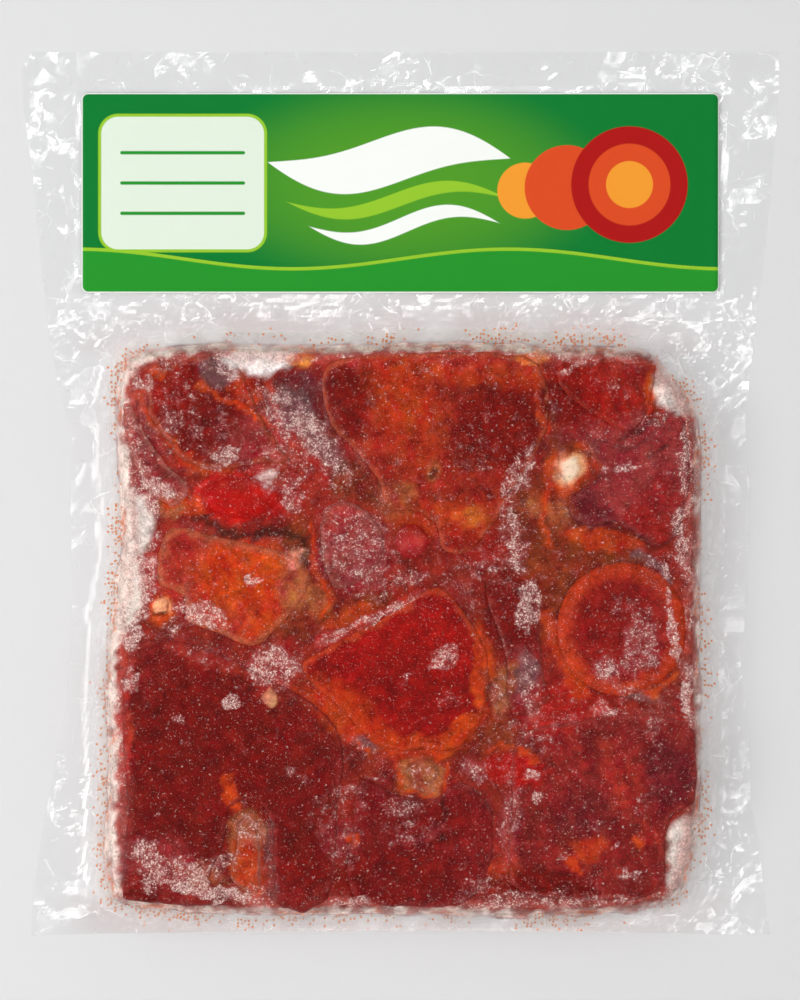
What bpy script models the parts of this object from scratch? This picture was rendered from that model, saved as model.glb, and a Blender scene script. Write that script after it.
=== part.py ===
"""Flat vacuum pouch of frozen gac flesh, lying on its back.

X runs across the pouch, Y runs up towards the label, Z runs up through its thickness.
The origin is the middle of the pouch's underside. Sizes below are in millimetres.
"""
from math import cos, hypot, pi, radians, sin

import bmesh
import bpy
from mathutils import Vector

MM = 0.001

# The pouch
POUCH_WIDTH = 200.0
POUCH_LENGTH = 233.2
FILM_THICKNESS = 0.3
CLEARANCE = 0.3
BOTTOM_BOW = 1.2
LEFT_EDGE = (
    (-116.6, -97.2), (-104.0, -96.6), (-86.3, -93.9), (-68.6, -90.7), (-56.4, -88.1), (-28.1, -86.5),
    (-1.7, -87.1), (14.1, -86.5), (24.7, -89.4), (41.9, -92.6), (59.0, -94.7), (80.2, -96.6),
    (102.6, -99.5), (112.4, -100.0), (116.6, -97.2),
)
RIGHT_EDGE = (
    (-116.6, 97.6), (-104.0, 95.8), (-89.7, 94.2), (-82.8, 92.6), (-59.8, 91.8), (-45.8, 89.7),
    (-28.1, 91.5), (0.0, 92.3), (17.6, 91.0), (31.8, 92.3), (47.7, 94.2), (68.8, 96.8),
    (86.3, 98.4), (107.4, 100.0), (116.6, 100.0),
)

# The block that the film is drawn down over
BLOCK_LEFT, BLOCK_RIGHT = -78.8, 79.8
BLOCK_BOTTOM, BLOCK_TOP = -112.2, 40.8
BLOCK_CORNER = 7.0
BED_HEIGHT = 9.6
FILM_SLACK = 0.5
BARE_BED_SLACK = 1.0
EDGE_DROP = 1.5
EDGE_WIDTH = 3.0
PIECE_REACH = 10.5
DRAW_REACH = 10.0
DRAW_POWER = 2.5

# The label
LABEL_SIZE = (168.4, 52.8)
LABEL_CENTRE = (0.0, 79.4)
LABEL_THICKNESS = 0.3
LABEL_CORNER = 1.4
LABEL_CORNER_STEPS = 4
LABEL_ZONE_SIDE = 89.0
LABEL_ZONE_TOP = 109.0
LABEL_ZONE_FADE = 3.0

# Rows and columns of the film's grid
INNER_COLUMNS = 22
INNER_ROWS = 20
SHOULDER = 0.8
SIDE_FOOT = 3.4
END_FOOT = 2.3
SIDE_STEPS = (0.0, 0.33, 0.67)
HEADER_ROWS = (44.3, 47.6, 51.0, 60.0, 69.5, 79.0, 88.5, 98.0, 108.0, 112.4, 116.6)

# Creases of the margins: direction in degrees, spacing, shift along the direction, height
CREASES = ((12, 26.0, 0.10, 1.0), (64, 19.0, 0.35, 1.0), (128, 23.0, 0.70, 0.9), (95, 13.0, 0.20, 0.7))
BACK_CREASE_SHARE = 0.8
FRONT_CREASE_SHARE = 0.4
SEAM_LIFT = 1.2
CREASE_START, CREASE_FADE = 0.3, 0.6

# Outlines of the frozen pieces
BED_OUTLINE = (
    (-75, 24.5), (-73.5, 33.5), (-67.5, 38), (-45, 39.5), (-18.5, 39), (13, 40), (42, 39), (63.5, 38),
    (70.5, 32), (77, 24), (79, 11.5), (79, -17.5), (79, -49.5), (79, -78.5), (76.5, -99), (70.5, -108),
    (50, -111), (21, -111.5), (-8, -110.5), (-37, -111), (-66, -109), (-76, -106.5), (-78, -94),
    (-77, -70.5), (-78, -49.5), (-76, -31), (-73.5, -12.5), (-74.5, 6),
)
FLESH_OUTLINES = {
    "flesh_clump_top_left": (
        (-65.5, 30.5), (-55.5, 35.5), (-44.5, 36), (-40, 29), (-34.5, 17), (-29, 8.5), (-36.5, 7.5),
        (-51.5, 6), (-59.5, 11.5), (-66, 20.5),
    ),
    "flesh_clump_left_edge": (
        (-71.5, 25), (-68, 19.5), (-62, 9), (-55, 2.5), (-57.5, -3.5), (-64, -2), (-70, 7.5), (-73, 18),
    ),
    "flesh_lobe_top_centre": (
        (-20.5, 31), (-14.5, 36), (8, 37), (32.5, 36.5), (38, 30), (39.5, 19.5), (35, 9), (28.5, -1),
        (23.5, -10), (18.5, -15.5), (10.5, -15), (9.5, -8.5), (3, -4.5), (-3.5, -5), (-6, 3.5),
        (-13, 12), (-19.5, 20.5),
    ),
    "flesh_wedge_top_right": (
        (42, 34), (64.5, 34.5), (67, 31.5), (65.5, 22.5), (61, 15), (54, 18.5), (45, 24), (41, 29),
    ),
    "flesh_lump_right": (
        (50, 15), (60.5, 12), (68, 19), (73, 22), (75.5, 15), (76, 1), (71.5, -12.5), (65.5, -14),
        (57, -7.5), (50, -9), (43.5, -5.5), (46, 0.5), (52, 4.5),
    ),
    "flesh_slab_left": (
        (-60.5, -8.5), (-51.5, -10), (-38.5, -13), (-26.5, -16.5), (-23.5, -22.5), (-26.5, -29.5),
        (-33.5, -37), (-39, -40.5), (-46.5, -37.5), (-56.5, -33.5), (-56.5, -27), (-63.5, -24),
        (-63.5, -15.5),
    ),
    "flesh_lump_centre": (
        (-20.5, -4), (-13, -1.5), (-5.5, -7), (-3.5, -15.5), (-7.5, -21.5), (-15.5, -25.5), (-19, -23),
        (-21.5, -13.5),
    ),
    "flesh_wedge_centre": (
        (-26, -44), (-16, -38.5), (-0.5, -30), (7.5, -24.5), (13, -26), (18.5, -33), (23, -41.5),
        (23.5, -50.5), (22, -58.5), (18.5, -64.5), (13, -68), (6, -67), (-0.5, -68), (-8, -65),
        (-15, -57), (-23.5, -50),
    ),
    "flesh_piece_mid_right": (
        (22, -22), (29.5, -23), (37, -34.5), (37.5, -46), (40, -54.5), (29.5, -59), (27.5, -52),
        (27, -41.5), (23, -31),
    ),
    "flesh_bottom_left": (
        (-71.5, -42), (-62, -37.5), (-47, -41.5), (-38.5, -46), (-26, -52.5), (-16.5, -60.5),
        (-14.5, -71), (-16, -81.5), (-18.5, -106.5), (-32.5, -108), (-33.5, -87), (-38, -81),
        (-44.5, -82.5), (-46.5, -94), (-50, -101), (-43.5, -108), (-69, -107), (-73, -103.5),
        (-71.5, -83.5), (-73, -62.5),
    ),
    "rind_strip": (
        (-43, -85.5), (-38.5, -84), (-36.5, -87.5), (-36, -104), (-40, -106), (-45.5, -100.5),
        (-43.5, -93),
    ),
    "flesh_bottom_middle": (
        (-10.5, -73.5), (-2, -78.5), (10, -79.5), (15.5, -74.5), (24, -81.5), (24.5, -94), (19.5, -106),
        (9, -108.5), (-13, -106), (-13, -89),
    ),
    "flesh_bottom_right": (
        (30, -63.5), (46, -59.5), (58, -57.5), (75, -59.5), (77.5, -68), (77, -81), (71.5, -84),
        (69.5, -93), (69.5, -101), (61, -107), (32.5, -105), (28, -98.5), (29, -81.5),
    ),
}
# Round pieces: centre, half width, half length, rise above the bed
ROUND_PIECES = {
    "flesh_slice_right": (58.0, -35.5, 17.7, 18.2, 3.8),
    "aril_left": (-42.0, -1.0, 11.1, 6.1, 3.6),
    "aril_centre": (3.0, -12.5, 5.3, 5.3, 3.2),
    "seed_pale": (44.5, 7.0, 3.7, 4.2, 3.0),
    "seed_left": (-63.0, -29.5, 3.4, 3.4, 2.6),
    "pulp_knot": (6.0, -73.0, 5.0, 4.0, 2.6),
}
PIECE_TOPS = {
    "flesh_clump_top_left": 13.6, "flesh_clump_left_edge": 11.8, "flesh_lobe_top_centre": 13.9,
    "flesh_wedge_top_right": 13.2, "flesh_lump_right": 14.0, "flesh_slab_left": 13.3,
    "flesh_lump_centre": 12.2, "flesh_wedge_centre": 14.3, "flesh_piece_mid_right": 12.4,
    "flesh_bottom_left": 13.7, "rind_strip": 12.0, "flesh_bottom_middle": 13.2,
    "flesh_bottom_right": 13.9,
}
EDGE_STEPS = 2
FLESH_ROUNDING = 1.5
BED_ROUNDING = 2.0
DOME_STEPS = 3
DOME_INSET, DOME_INSET_MOST = 0.75, 5.0
DOME_RISE = 0.7
SLICE_SIDES, SMALL_SIDES = 28, 16
SLICE_RADIUS = 10.0

# Colour, roughness and alpha of each finish
FINISHES = {
    "clear_film": ((0.90, 0.92, 0.93), 0.15, 0.22),
    "printed_label": ((0.03, 0.26, 0.07), 0.35, 1.0),
    "frozen_juice": ((0.42, 0.13, 0.07), 0.45, 1.0),
    "frozen_flesh": ((0.36, 0.04, 0.03), 0.45, 1.0),
    "orange_rind": ((0.60, 0.20, 0.06), 0.50, 1.0),
    "red_aril": ((0.52, 0.02, 0.02), 0.30, 1.0),
    "pale_seed": ((0.80, 0.66, 0.42), 0.40, 1.0),
}
PIECE_FINISHES = {"rind_strip": "orange_rind", "pulp_knot": "orange_rind", "aril_left": "red_aril",
                  "aril_centre": "red_aril", "seed_pale": "pale_seed", "seed_left": "orange_rind"}


def clear_scene():
    """Remove the objects that a new file starts with."""
    for thing in list(bpy.data.objects):
        bpy.data.objects.remove(thing, do_unlink=True)


def make_finish(name):
    """A Principled material from the table of finishes."""
    colour, roughness, alpha = FINISHES[name]
    material = bpy.data.materials.new(name)
    material.use_nodes = True
    shader = material.node_tree.nodes["Principled BSDF"]
    shader.inputs["Base Color"].default_value = (*colour, 1.0)
    shader.inputs["Roughness"].default_value = roughness
    shader.inputs["Metallic"].default_value = 0.0
    shader.inputs["Alpha"].default_value = alpha
    material.diffuse_color = (*colour, alpha)
    return material


def add_object(name, bm, finish, collection):
    """Turn a bmesh in millimetres into a named object in metres, with a finish of its own."""
    bmesh.ops.scale(bm, vec=(MM, MM, MM), verts=bm.verts)
    bmesh.ops.recalc_face_normals(bm, faces=bm.faces)
    mesh = bpy.data.meshes.new(name)
    bm.to_mesh(mesh)
    bm.free()
    mesh.materials.append(make_finish(finish))
    thing = bpy.data.objects.new(name, mesh)
    collection.objects.link(thing)
    return thing


def smooth_step(value):
    """Rise from 0 to 1 with a soft start and end."""
    value = min(max(value, 0.0), 1.0)
    return value * value * (3.0 - 2.0 * value)


def edge_at(edge, y):
    """The x of a side edge of the pouch, given as (y, x) points going up."""
    for (low_y, low_x), (high_y, high_x) in zip(edge, edge[1:]):
        if y <= high_y:
            share = (y - low_y) / (high_y - low_y)
            return low_x + (high_x - low_x) * share
    return edge[-1][1]


def bottom_edge(x):
    """The y of the bottom edge, which bows up a little between its corners."""
    return -POUCH_LENGTH / 2 + BOTTOM_BOW * (1.0 - (2 * x / POUCH_WIDTH) ** 2)


def block_lines(low, high, count):
    """Grid lines across the block: one on each edge, one just inside it, and even ones between."""
    first, last = low + EDGE_WIDTH, high - EDGE_WIDTH
    step = (last - first) / (count - 1)
    return [low] + [first + step * number for number in range(count)] + [high]


def column_places(y):
    """The x of every column of the film's grid at height y."""
    left, right = edge_at(LEFT_EDGE, y), edge_at(RIGHT_EDGE, y)
    left_foot, right_foot = BLOCK_LEFT - SIDE_FOOT, BLOCK_RIGHT + SIDE_FOOT
    inner = block_lines(BLOCK_LEFT, BLOCK_RIGHT, INNER_COLUMNS)
    return ([left + (left_foot - left) * share for share in SIDE_STEPS]
            + [left_foot, BLOCK_LEFT - SHOULDER] + inner + [BLOCK_RIGHT + SHOULDER, right_foot]
            + [right + (right_foot - right) * share for share in reversed(SIDE_STEPS)])


def row_places():
    """The y of every row of the film's grid; the first one is moved onto the bowed edge."""
    inner = block_lines(BLOCK_BOTTOM, BLOCK_TOP, INNER_ROWS)
    return ([-POUCH_LENGTH / 2, BLOCK_BOTTOM - END_FOOT, BLOCK_BOTTOM - SHOULDER] + inner
            + [BLOCK_TOP + SHOULDER] + list(HEADER_ROWS))


def from_block(x, y):
    """Distance to the block's rounded outline: less than 0 inside it."""
    side = abs(x - (BLOCK_LEFT + BLOCK_RIGHT) / 2) - (BLOCK_RIGHT - BLOCK_LEFT) / 2 + BLOCK_CORNER
    end = abs(y - (BLOCK_BOTTOM + BLOCK_TOP) / 2) - (BLOCK_TOP - BLOCK_BOTTOM) / 2 + BLOCK_CORNER
    return hypot(max(side, 0.0), max(end, 0.0)) + min(max(side, end), 0.0) - BLOCK_CORNER


def way_out(x, y):
    """How far a point is from the block towards the pouch's edge: 0 on the block, 1 out on the seam."""
    sides = (
        (BLOCK_LEFT - x, BLOCK_LEFT - edge_at(LEFT_EDGE, y)),
        (x - BLOCK_RIGHT, edge_at(RIGHT_EDGE, y) - BLOCK_RIGHT),
        (BLOCK_BOTTOM - y, BLOCK_BOTTOM - bottom_edge(x)),
        (y - BLOCK_TOP, DRAW_REACH),
    )
    straight = max(out / min(room, DRAW_REACH) for out, room in sides)
    return min(max(straight, from_block(x, y) / DRAW_REACH, 0.0), 1.0)


def crease_height(x, y):
    """Sharp folds in four directions, added up."""
    total = 0.0
    for angle, spacing, shift, height in CREASES:
        along = (x * cos(radians(angle)) + y * sin(radians(angle))) / spacing + shift
        total += height * abs(2.0 * (along % 1.0) - 1.0)
    return total


def margin_share(x, y):
    """1 in the crumpled margins, 0 under the block and the label."""
    past_block = smooth_step((way_out(x, y) - CREASE_START) / CREASE_FADE)
    beside_label = smooth_step(max(abs(x) - LABEL_ZONE_SIDE, y - LABEL_ZONE_TOP) / LABEL_ZONE_FADE)
    return past_block * (beside_label if y > BLOCK_TOP + DRAW_REACH / 2 else 1.0)


def inside(x, y, outline):
    """True where a point lies inside an outline, by counting the sides to its right."""
    crossings = 0
    for (ax, ay), (bx, by) in zip(outline, outline[1:] + outline[:1]):
        if (ay > y) != (by > y) and x < ax + (bx - ax) * (y - ay) / (by - ay):
            crossings += 1
    return crossings % 2 == 1


def highest_piece(x, y):
    """The top of the highest piece that a cell of the film may touch."""
    tops = [BED_HEIGHT + BARE_BED_SLACK]
    for name, outline in FLESH_OUTLINES.items():
        nearest = min(hypot(x - a, y - b) for a, b in smooth_outline(outline))
        if nearest < PIECE_REACH or inside(x, y, outline):
            tops.append(PIECE_TOPS[name])
    for centre_x, centre_y, half_width, half_length, height in ROUND_PIECES.values():
        if hypot(x - centre_x, y - centre_y) < max(half_width, half_length) + PIECE_REACH:
            tops.append(BED_HEIGHT + CLEARANCE + height)
    return max(tops)


def back_height(x, y):
    """Underside of the back film: flat on the table, lifted along the seams."""
    return (SEAM_LIFT * way_out(x, y) + BACK_CREASE_SHARE * crease_height(x, y)) * margin_share(x, y)


def front_height(x, y):
    """Underside of the front film: drawn down from the top of the block to the back film."""
    seam = back_height(x, y) + FILM_THICKNESS + CLEARANCE
    air = FRONT_CREASE_SHARE * crease_height(x, y) * margin_share(x, y)
    rim = 1.0 + max(from_block(x, y), -EDGE_WIDTH) / EDGE_WIDTH
    over_block = highest_piece(x, y) + FILM_SLACK - EDGE_DROP * rim
    return seam + air + (over_block - seam) * (1.0 - way_out(x, y)) ** DRAW_POWER


def make_film(name, height, collection):
    """One sheet of film on the pouch's outline, at the height that a function gives."""
    rows = row_places()
    columns = len(column_places(0.0))
    bm = bmesh.new()
    bmesh.ops.create_grid(bm, x_segments=columns - 1, y_segments=len(rows) - 1, size=1.0)
    for vert in bm.verts:
        column = round((vert.co.x + 1) / 2 * (columns - 1))
        row = round((vert.co.y + 1) / 2 * (len(rows) - 1))
        y = rows[row]
        x = column_places(y)[column]
        if row == 0:
            y = bottom_edge(x)
        vert.co = (x, y, height(x, y))
    film = add_object(name, bm, "clear_film", collection)
    if film.data.polygons[0].normal.z < 0:
        film.data.flip_normals()
    film.modifiers.new("halves", "TRIANGULATE").quad_method = "FIXED"
    wall = film.modifiers.new("thickness", "SOLIDIFY")
    wall.thickness = FILM_THICKNESS * MM
    wall.offset = 1.0
    return film


def smooth_outline(points):
    """A closed outline with one more point on the curve between each two."""
    result = []
    count = len(points)
    for number, start in enumerate(points):
        before, after, last = points[number - 1], points[(number + 1) % count], points[(number + 2) % count]
        middle = [(9 * (a + b) - c - d) / 16 for a, b, c, d in zip(start, after, before, last)]
        result += [start, middle]
    return result


def ellipse_outline(centre_x, centre_y, half_width, half_length, count):
    """Points round an ellipse."""
    turns = [2 * pi * number / count for number in range(count)]
    return [(centre_x + half_width * cos(turn), centre_y + half_length * sin(turn)) for turn in turns]


def raise_piece(outline, floor, top, inset, rise, steps):
    """A block on an outline whose upper edge is rounded off over some steps."""
    bm = bmesh.new()
    base = bm.faces.new([bm.verts.new((x, y, floor)) for x, y in outline])
    raised = bmesh.ops.extrude_face_region(bm, geom=[base])["geom"]
    crown = next(part for part in raised if isinstance(part, bmesh.types.BMFace))
    bmesh.ops.translate(bm, vec=Vector((0, 0, top - rise - floor)), verts=crown.verts)
    for number in range(steps):
        low, high = (pi / 2 * (number + extra) / steps for extra in (0, 1))
        bmesh.ops.inset_region(bm, faces=[crown], thickness=inset * (cos(low) - cos(high)),
                               use_even_offset=True)
        bmesh.ops.translate(bm, vec=Vector((0, 0, rise * (sin(high) - sin(low)))), verts=crown.verts)
    return bm


def make_frozen_bed(collection):
    """The slab of frozen juice and pulp that holds the pieces."""
    floor = FILM_THICKNESS + CLEARANCE
    outline = smooth_outline(BED_OUTLINE)
    bm = raise_piece(outline, floor, BED_HEIGHT, BED_ROUNDING, BED_ROUNDING, EDGE_STEPS)
    add_object("frozen_bed", bm, "frozen_juice", collection)


def make_flesh_pieces(collection):
    """The pieces of flesh that show in the top of the block."""
    floor = BED_HEIGHT + CLEARANCE
    for name, outline in FLESH_OUTLINES.items():
        top = PIECE_TOPS[name]
        bm = raise_piece(smooth_outline(outline), floor, top, FLESH_ROUNDING, FLESH_ROUNDING, EDGE_STEPS)
        add_object(name, bm, PIECE_FINISHES.get(name, "frozen_flesh"), collection)


def make_round_pieces(collection):
    """The round slice, the arils and the seeds."""
    floor = BED_HEIGHT + CLEARANCE
    for name, (x, y, half_width, half_length, height) in ROUND_PIECES.items():
        radius = min(half_width, half_length)
        sides = SLICE_SIDES if radius > SLICE_RADIUS else SMALL_SIDES
        outline = ellipse_outline(x, y, half_width, half_length, sides)
        inset = min(DOME_INSET * radius, DOME_INSET_MOST)
        bm = raise_piece(outline, floor, floor + height, inset, DOME_RISE * height, DOME_STEPS)
        add_object(name, bm, PIECE_FINISHES.get(name, "frozen_flesh"), collection)


def make_label(collection):
    """A stiff rounded sticker on the front film, above the block."""
    width, length = LABEL_SIZE
    bm = bmesh.new()
    bmesh.ops.create_cube(bm, size=1.0)
    bmesh.ops.scale(bm, vec=(width, length, LABEL_THICKNESS), verts=bm.verts)
    corners = [edge for edge in bm.edges if edge.verts[0].co.z * edge.verts[1].co.z < 0]
    bmesh.ops.bevel(bm, geom=corners, offset=LABEL_CORNER, segments=LABEL_CORNER_STEPS, profile=0.5,
                    affect="EDGES", material=-1)
    seat = front_height(*LABEL_CENTRE) + FILM_THICKNESS + CLEARANCE
    middle = Vector((*LABEL_CENTRE, seat + LABEL_THICKNESS / 2))
    bmesh.ops.translate(bm, vec=middle, verts=bm.verts)
    add_object("label", bm, "printed_label", collection)


def main():
    clear_scene()
    pouch = bpy.data.collections.new("frozen_gac_pouch")
    bpy.context.scene.collection.children.link(pouch)
    make_film("film_back", back_height, pouch)
    make_frozen_bed(pouch)
    make_flesh_pieces(pouch)
    make_round_pieces(pouch)
    make_film("film_front", front_height, pouch)
    make_label(pouch)


main()
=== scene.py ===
# %% [markdown]
# A flat vacuum pouch of frozen gac flesh, seen from straight above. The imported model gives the
# place and size of every piece. This script hides those plain solids one by one and puts a finely
# modelled piece in the same place. The real pouch is clear film, so the order of work follows the
# light: first the studio, then the frozen slab inside, then the film that is drawn down over it.

# %% Load the frame
from math import cos, pi, radians, sin

import bmesh
import bpy
import numpy as np
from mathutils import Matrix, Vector
from mathutils.bvhtree import BVHTree


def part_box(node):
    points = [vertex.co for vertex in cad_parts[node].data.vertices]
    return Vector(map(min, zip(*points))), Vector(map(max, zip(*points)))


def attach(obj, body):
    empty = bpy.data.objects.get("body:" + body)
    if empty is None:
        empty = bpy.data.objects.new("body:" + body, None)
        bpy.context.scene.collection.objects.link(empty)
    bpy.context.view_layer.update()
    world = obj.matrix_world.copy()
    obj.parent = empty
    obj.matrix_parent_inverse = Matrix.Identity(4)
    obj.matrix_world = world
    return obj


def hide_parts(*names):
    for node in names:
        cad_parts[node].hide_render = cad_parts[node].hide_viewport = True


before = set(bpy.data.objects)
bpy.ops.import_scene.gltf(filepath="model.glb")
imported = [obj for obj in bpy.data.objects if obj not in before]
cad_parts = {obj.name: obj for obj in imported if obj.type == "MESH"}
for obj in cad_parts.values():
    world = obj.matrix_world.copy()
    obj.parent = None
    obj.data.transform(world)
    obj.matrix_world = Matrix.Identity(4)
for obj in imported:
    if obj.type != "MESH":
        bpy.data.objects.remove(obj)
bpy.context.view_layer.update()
MM = 0.001

# %% [markdown]
# The photograph is taken from straight above with a long lens, so the camera hangs high over the
# pouch and looks down. The pouch is 233 mm long and fills 883 of the picture's 1000 rows, which
# gives the height of the picture in millimetres, and with the lens the distance.

# %% Camera
LENS = 200.0
SENSOR = 36.0
PICTURE_HEIGHT = 264.2
VIEW_CENTRE = (-0.1, -1.7)

camera_data = bpy.data.cameras.new("camera")
camera_data.lens = LENS
camera_data.sensor_width = SENSOR
camera_data.clip_end = 20.0
camera = bpy.data.objects.new("camera", camera_data)
camera.location = (VIEW_CENTRE[0] * MM, VIEW_CENTRE[1] * MM, PICTURE_HEIGHT * LENS / SENSOR * MM)
bpy.context.scene.collection.objects.link(camera)
bpy.context.scene.camera = camera
print("camera hangs", round(camera.location.z, 3), "m up")


# %% [markdown]
# The sky and every finish are nodes joined by links. Making a node, setting it and linking it takes
# the same few lines each time, so small helpers do it: an empty material, a node with its values, a
# step of arithmetic, a range stretched to another one, a noise, and one colour laid over another.

# %% Node helpers
def new_material(name):
    """An empty material with its Principled shader wired to the output."""
    material = bpy.data.materials.new(name)
    material.use_nodes = True
    tree = material.node_tree
    return material, tree, tree.nodes["Principled BSDF"]


def add_node(tree, kind, values=None, **settings):
    """A node with its settings and the values of its inputs."""
    node = tree.nodes.new(kind)
    for name, value in settings.items():
        setattr(node, name, value)
    for name, value in (values or {}).items():
        if isinstance(value, bpy.types.NodeSocket):
            tree.links.new(value, node.inputs[name])
        else:
            node.inputs[name].default_value = value
    return node


def calculate(tree, operation, first, second=0.0, clamp=False):
    """One step of arithmetic, as a socket."""
    settings = {"operation": operation, "use_clamp": clamp}
    return add_node(tree, "ShaderNodeMath", {0: first, 1: second}, **settings).outputs[0]


def times(tree, first, second, clamp=False):
    return calculate(tree, "MULTIPLY", first, second, clamp)


def plus(tree, first, second):
    return calculate(tree, "ADD", first, second)


def minus(tree, first, second, clamp=False):
    return calculate(tree, "SUBTRACT", first, second, clamp)


def remap(tree, value, low, high, to_low=0.0, to_high=1.0, **settings):
    """A value with its range stretched to another one, as a socket."""
    values = {"Value": value, "From Min": low, "From Max": high, "To Min": to_low, "To Max": to_high}
    return add_node(tree, "ShaderNodeMapRange", values, **settings).outputs["Result"]


def noise(tree, place, scale, detail, roughness=0.5, distortion=0.0, **settings):
    """The outputs of a cloudy noise: a value called Fac and three more in its Color."""
    values = {"Vector": place, "Scale": scale, "Detail": detail, "Roughness": roughness,
              "Distortion": distortion}
    return add_node(tree, "ShaderNodeTexNoise", values, **settings).outputs


def blend_tones(tree, share, first, second, kind="MIX"):
    """One colour over another, as a socket."""
    node = add_node(tree, "ShaderNodeMix", data_type="RGBA", blend_type=kind)
    colour_inputs = [socket for socket in node.inputs if socket.type == "RGBA"]
    for socket, value in zip([node.inputs[0], *colour_inputs], (share, first, second)):
        if isinstance(value, bpy.types.NodeSocket):
            tree.links.new(value, socket)
        else:
            socket.default_value = (*value, 1.0) if socket.type == "RGBA" else value
    return next(socket for socket in node.outputs if socket.type == "RGBA")


def mix_shaders(tree, share, first, second):
    """Two shaders mixed, as a socket."""
    return add_node(tree, "ShaderNodeMixShader", {0: share, 1: first, 2: second}).outputs[0]


NODE_HELPERS = (add_node, calculate, remap, noise, blend_tones, mix_shaders)
print("helpers for nodes:", [helper.__name__ for helper in NODE_HELPERS])


# %% [markdown]
# A pale table, an even pale sky for the soft light, and lamps. The wide lamp at the left gives the
# soft shading. Clear film only shows by what it mirrors, so narrow lamps stand round the table and
# the sky has bright windows: each fold that leans the right way sends one of them to the camera as
# a white glint. The windows are a noise cut off at a height, in a ring below the top of the sky.

# %% Studio
FLOOR_TONE = (0.638, 0.638, 0.643)
SKY_LOW, SKY_ROUND, SKY_ABOVE = 0.31, 0.45, 0.31
WINDOW_GLOW = 7.2
WINDOW_COUNT = 7.0
WINDOW_EDGE = (0.585, 0.655)
LAMPS = {
    # name: (azimuth, elevation, distance in m, width, length, watts)
    "wide_left": (-80, 42, 1.1, 0.50, 0.50, 5.0),
    "strip_left": (-100, 66, 0.9, 0.03, 0.35, 0.36),
    "strip_right": (80, 70, 0.9, 0.03, 0.35, 0.25),
    "strip_far": (170, 68, 0.9, 0.35, 0.03, 0.35),
}


def add_floor():
    """A wide table top at the height that the pouch lies on."""
    bm = bmesh.new()
    bmesh.ops.create_grid(bm, x_segments=1, y_segments=1, size=3.0)
    mesh = bpy.data.meshes.new("floor")
    bm.to_mesh(mesh)
    bm.free()
    floor = bpy.data.objects.new("floor", mesh)
    bpy.context.scene.collection.objects.link(floor)
    material, _, shader = new_material("table")
    shader.inputs["Base Color"].default_value = (*FLOOR_TONE, 1.0)
    shader.inputs["Roughness"].default_value = 0.9
    mesh.materials.append(material)


def grey_by_height(tree, height, curve, first, last, *between):
    """A grey that changes with the height in the sky, from stops of a height and a grey."""
    ramp = add_node(tree, "ShaderNodeValToRGB", {0: height})
    ramp.color_ramp.interpolation = curve
    stops = ramp.color_ramp.elements
    for stop, (position, grey) in zip(stops, (first, last)):
        stop.position, stop.color = position, (grey, grey, grey, 1.0)
    for position, grey in between:
        stops.new(position).color = (grey, grey, grey, 1.0)
    return ramp.outputs["Color"]


def add_sky():
    """Pale all round, dim straight above, with bright windows scattered between for the glints."""
    world = bpy.data.worlds.new("sky")
    world.use_nodes = True
    tree = world.node_tree
    direction = tree.nodes.new("ShaderNodeTexCoord").outputs["Generated"]
    height = add_node(tree, "ShaderNodeSeparateXYZ", {0: direction}).outputs["Z"]
    even = grey_by_height(tree, height, "EASE", (0.0, SKY_LOW), (0.95, SKY_ABOVE),
                          (0.35, SKY_ROUND), (0.78, SKY_ROUND))
    ring = grey_by_height(tree, height, "LINEAR", (0.55, 0), (0.993, 0), (0.80, 1), (0.975, 1))
    clouds = noise(tree, direction, WINDOW_COUNT, 2.0)["Fac"]
    windows = remap(tree, clouds, *WINDOW_EDGE, 0.0, WINDOW_GLOW)
    total = add_node(tree, "ShaderNodeVectorMath", {0: even, 1: times(tree, windows, ring)})
    tree.links.new(total.outputs[0], tree.nodes["Background"].inputs["Color"])
    bpy.context.scene.world = world


def add_lamp(name, azimuth, elevation, distance, width, length, watts):
    """An area lamp aimed at the pouch; azimuth 0 is near the viewer's foot of the picture."""
    turn, rise = radians(azimuth), radians(elevation)
    away = Vector((sin(turn) * cos(rise), -cos(turn) * cos(rise), sin(rise)))
    data = bpy.data.lights.new(name, "AREA")
    data.shape = "RECTANGLE"
    data.size, data.size_y = width, length
    data.energy = watts
    lamp = bpy.data.objects.new(name, data)
    lamp.location = away * distance
    lamp.rotation_euler = away.to_track_quat("Z", "Y").to_euler()
    bpy.context.scene.collection.objects.link(lamp)


add_floor()
add_sky()
for lamp_name, lamp_values in LAMPS.items():
    add_lamp(lamp_name, *lamp_values)
bpy.context.scene.view_settings.view_transform = "Standard"
bpy.context.scene.view_settings.look = "None"
bpy.context.scene.view_settings.exposure = 0.0
cycles = bpy.context.scene.cycles
cycles.max_bounces, cycles.diffuse_bounces, cycles.glossy_bounces = 6, 2, 2
cycles.transparent_max_bounces = 16
cycles.caustics_reflective = cycles.caustics_refractive = False
print(len(LAMPS), "lamps")


# %% [markdown]
# Frozen flesh, frost and crumpled film are all uneven, and none of them is random in the sense of
# grain: they have lumps of a certain size. Adding some sine waves in drawn directions gives such
# lumps for whole lists of points at once. The seed is part of the call, so every run is the same.

# %% Uneven fields
def lumps(x, y, size, seed, z=0.0, waves=9):
    """A smooth uneven value from about -1 to 1, with lumps of about the size in millimetres."""
    draw = np.random.default_rng(seed)
    total = 0.0
    for _ in range(waves):
        turn, tilt, phase = draw.uniform(0, 2 * pi), draw.uniform(-0.8, 0.8), draw.uniform(0, 2 * pi)
        pitch = 2 * pi / (size * draw.uniform(1.4, 3.2))
        total = total + np.sin((x * cos(turn) + y * sin(turn) + z * tilt) * pitch + phase)
    return total / (waves * 0.5) ** 0.5 / 1.6


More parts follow.
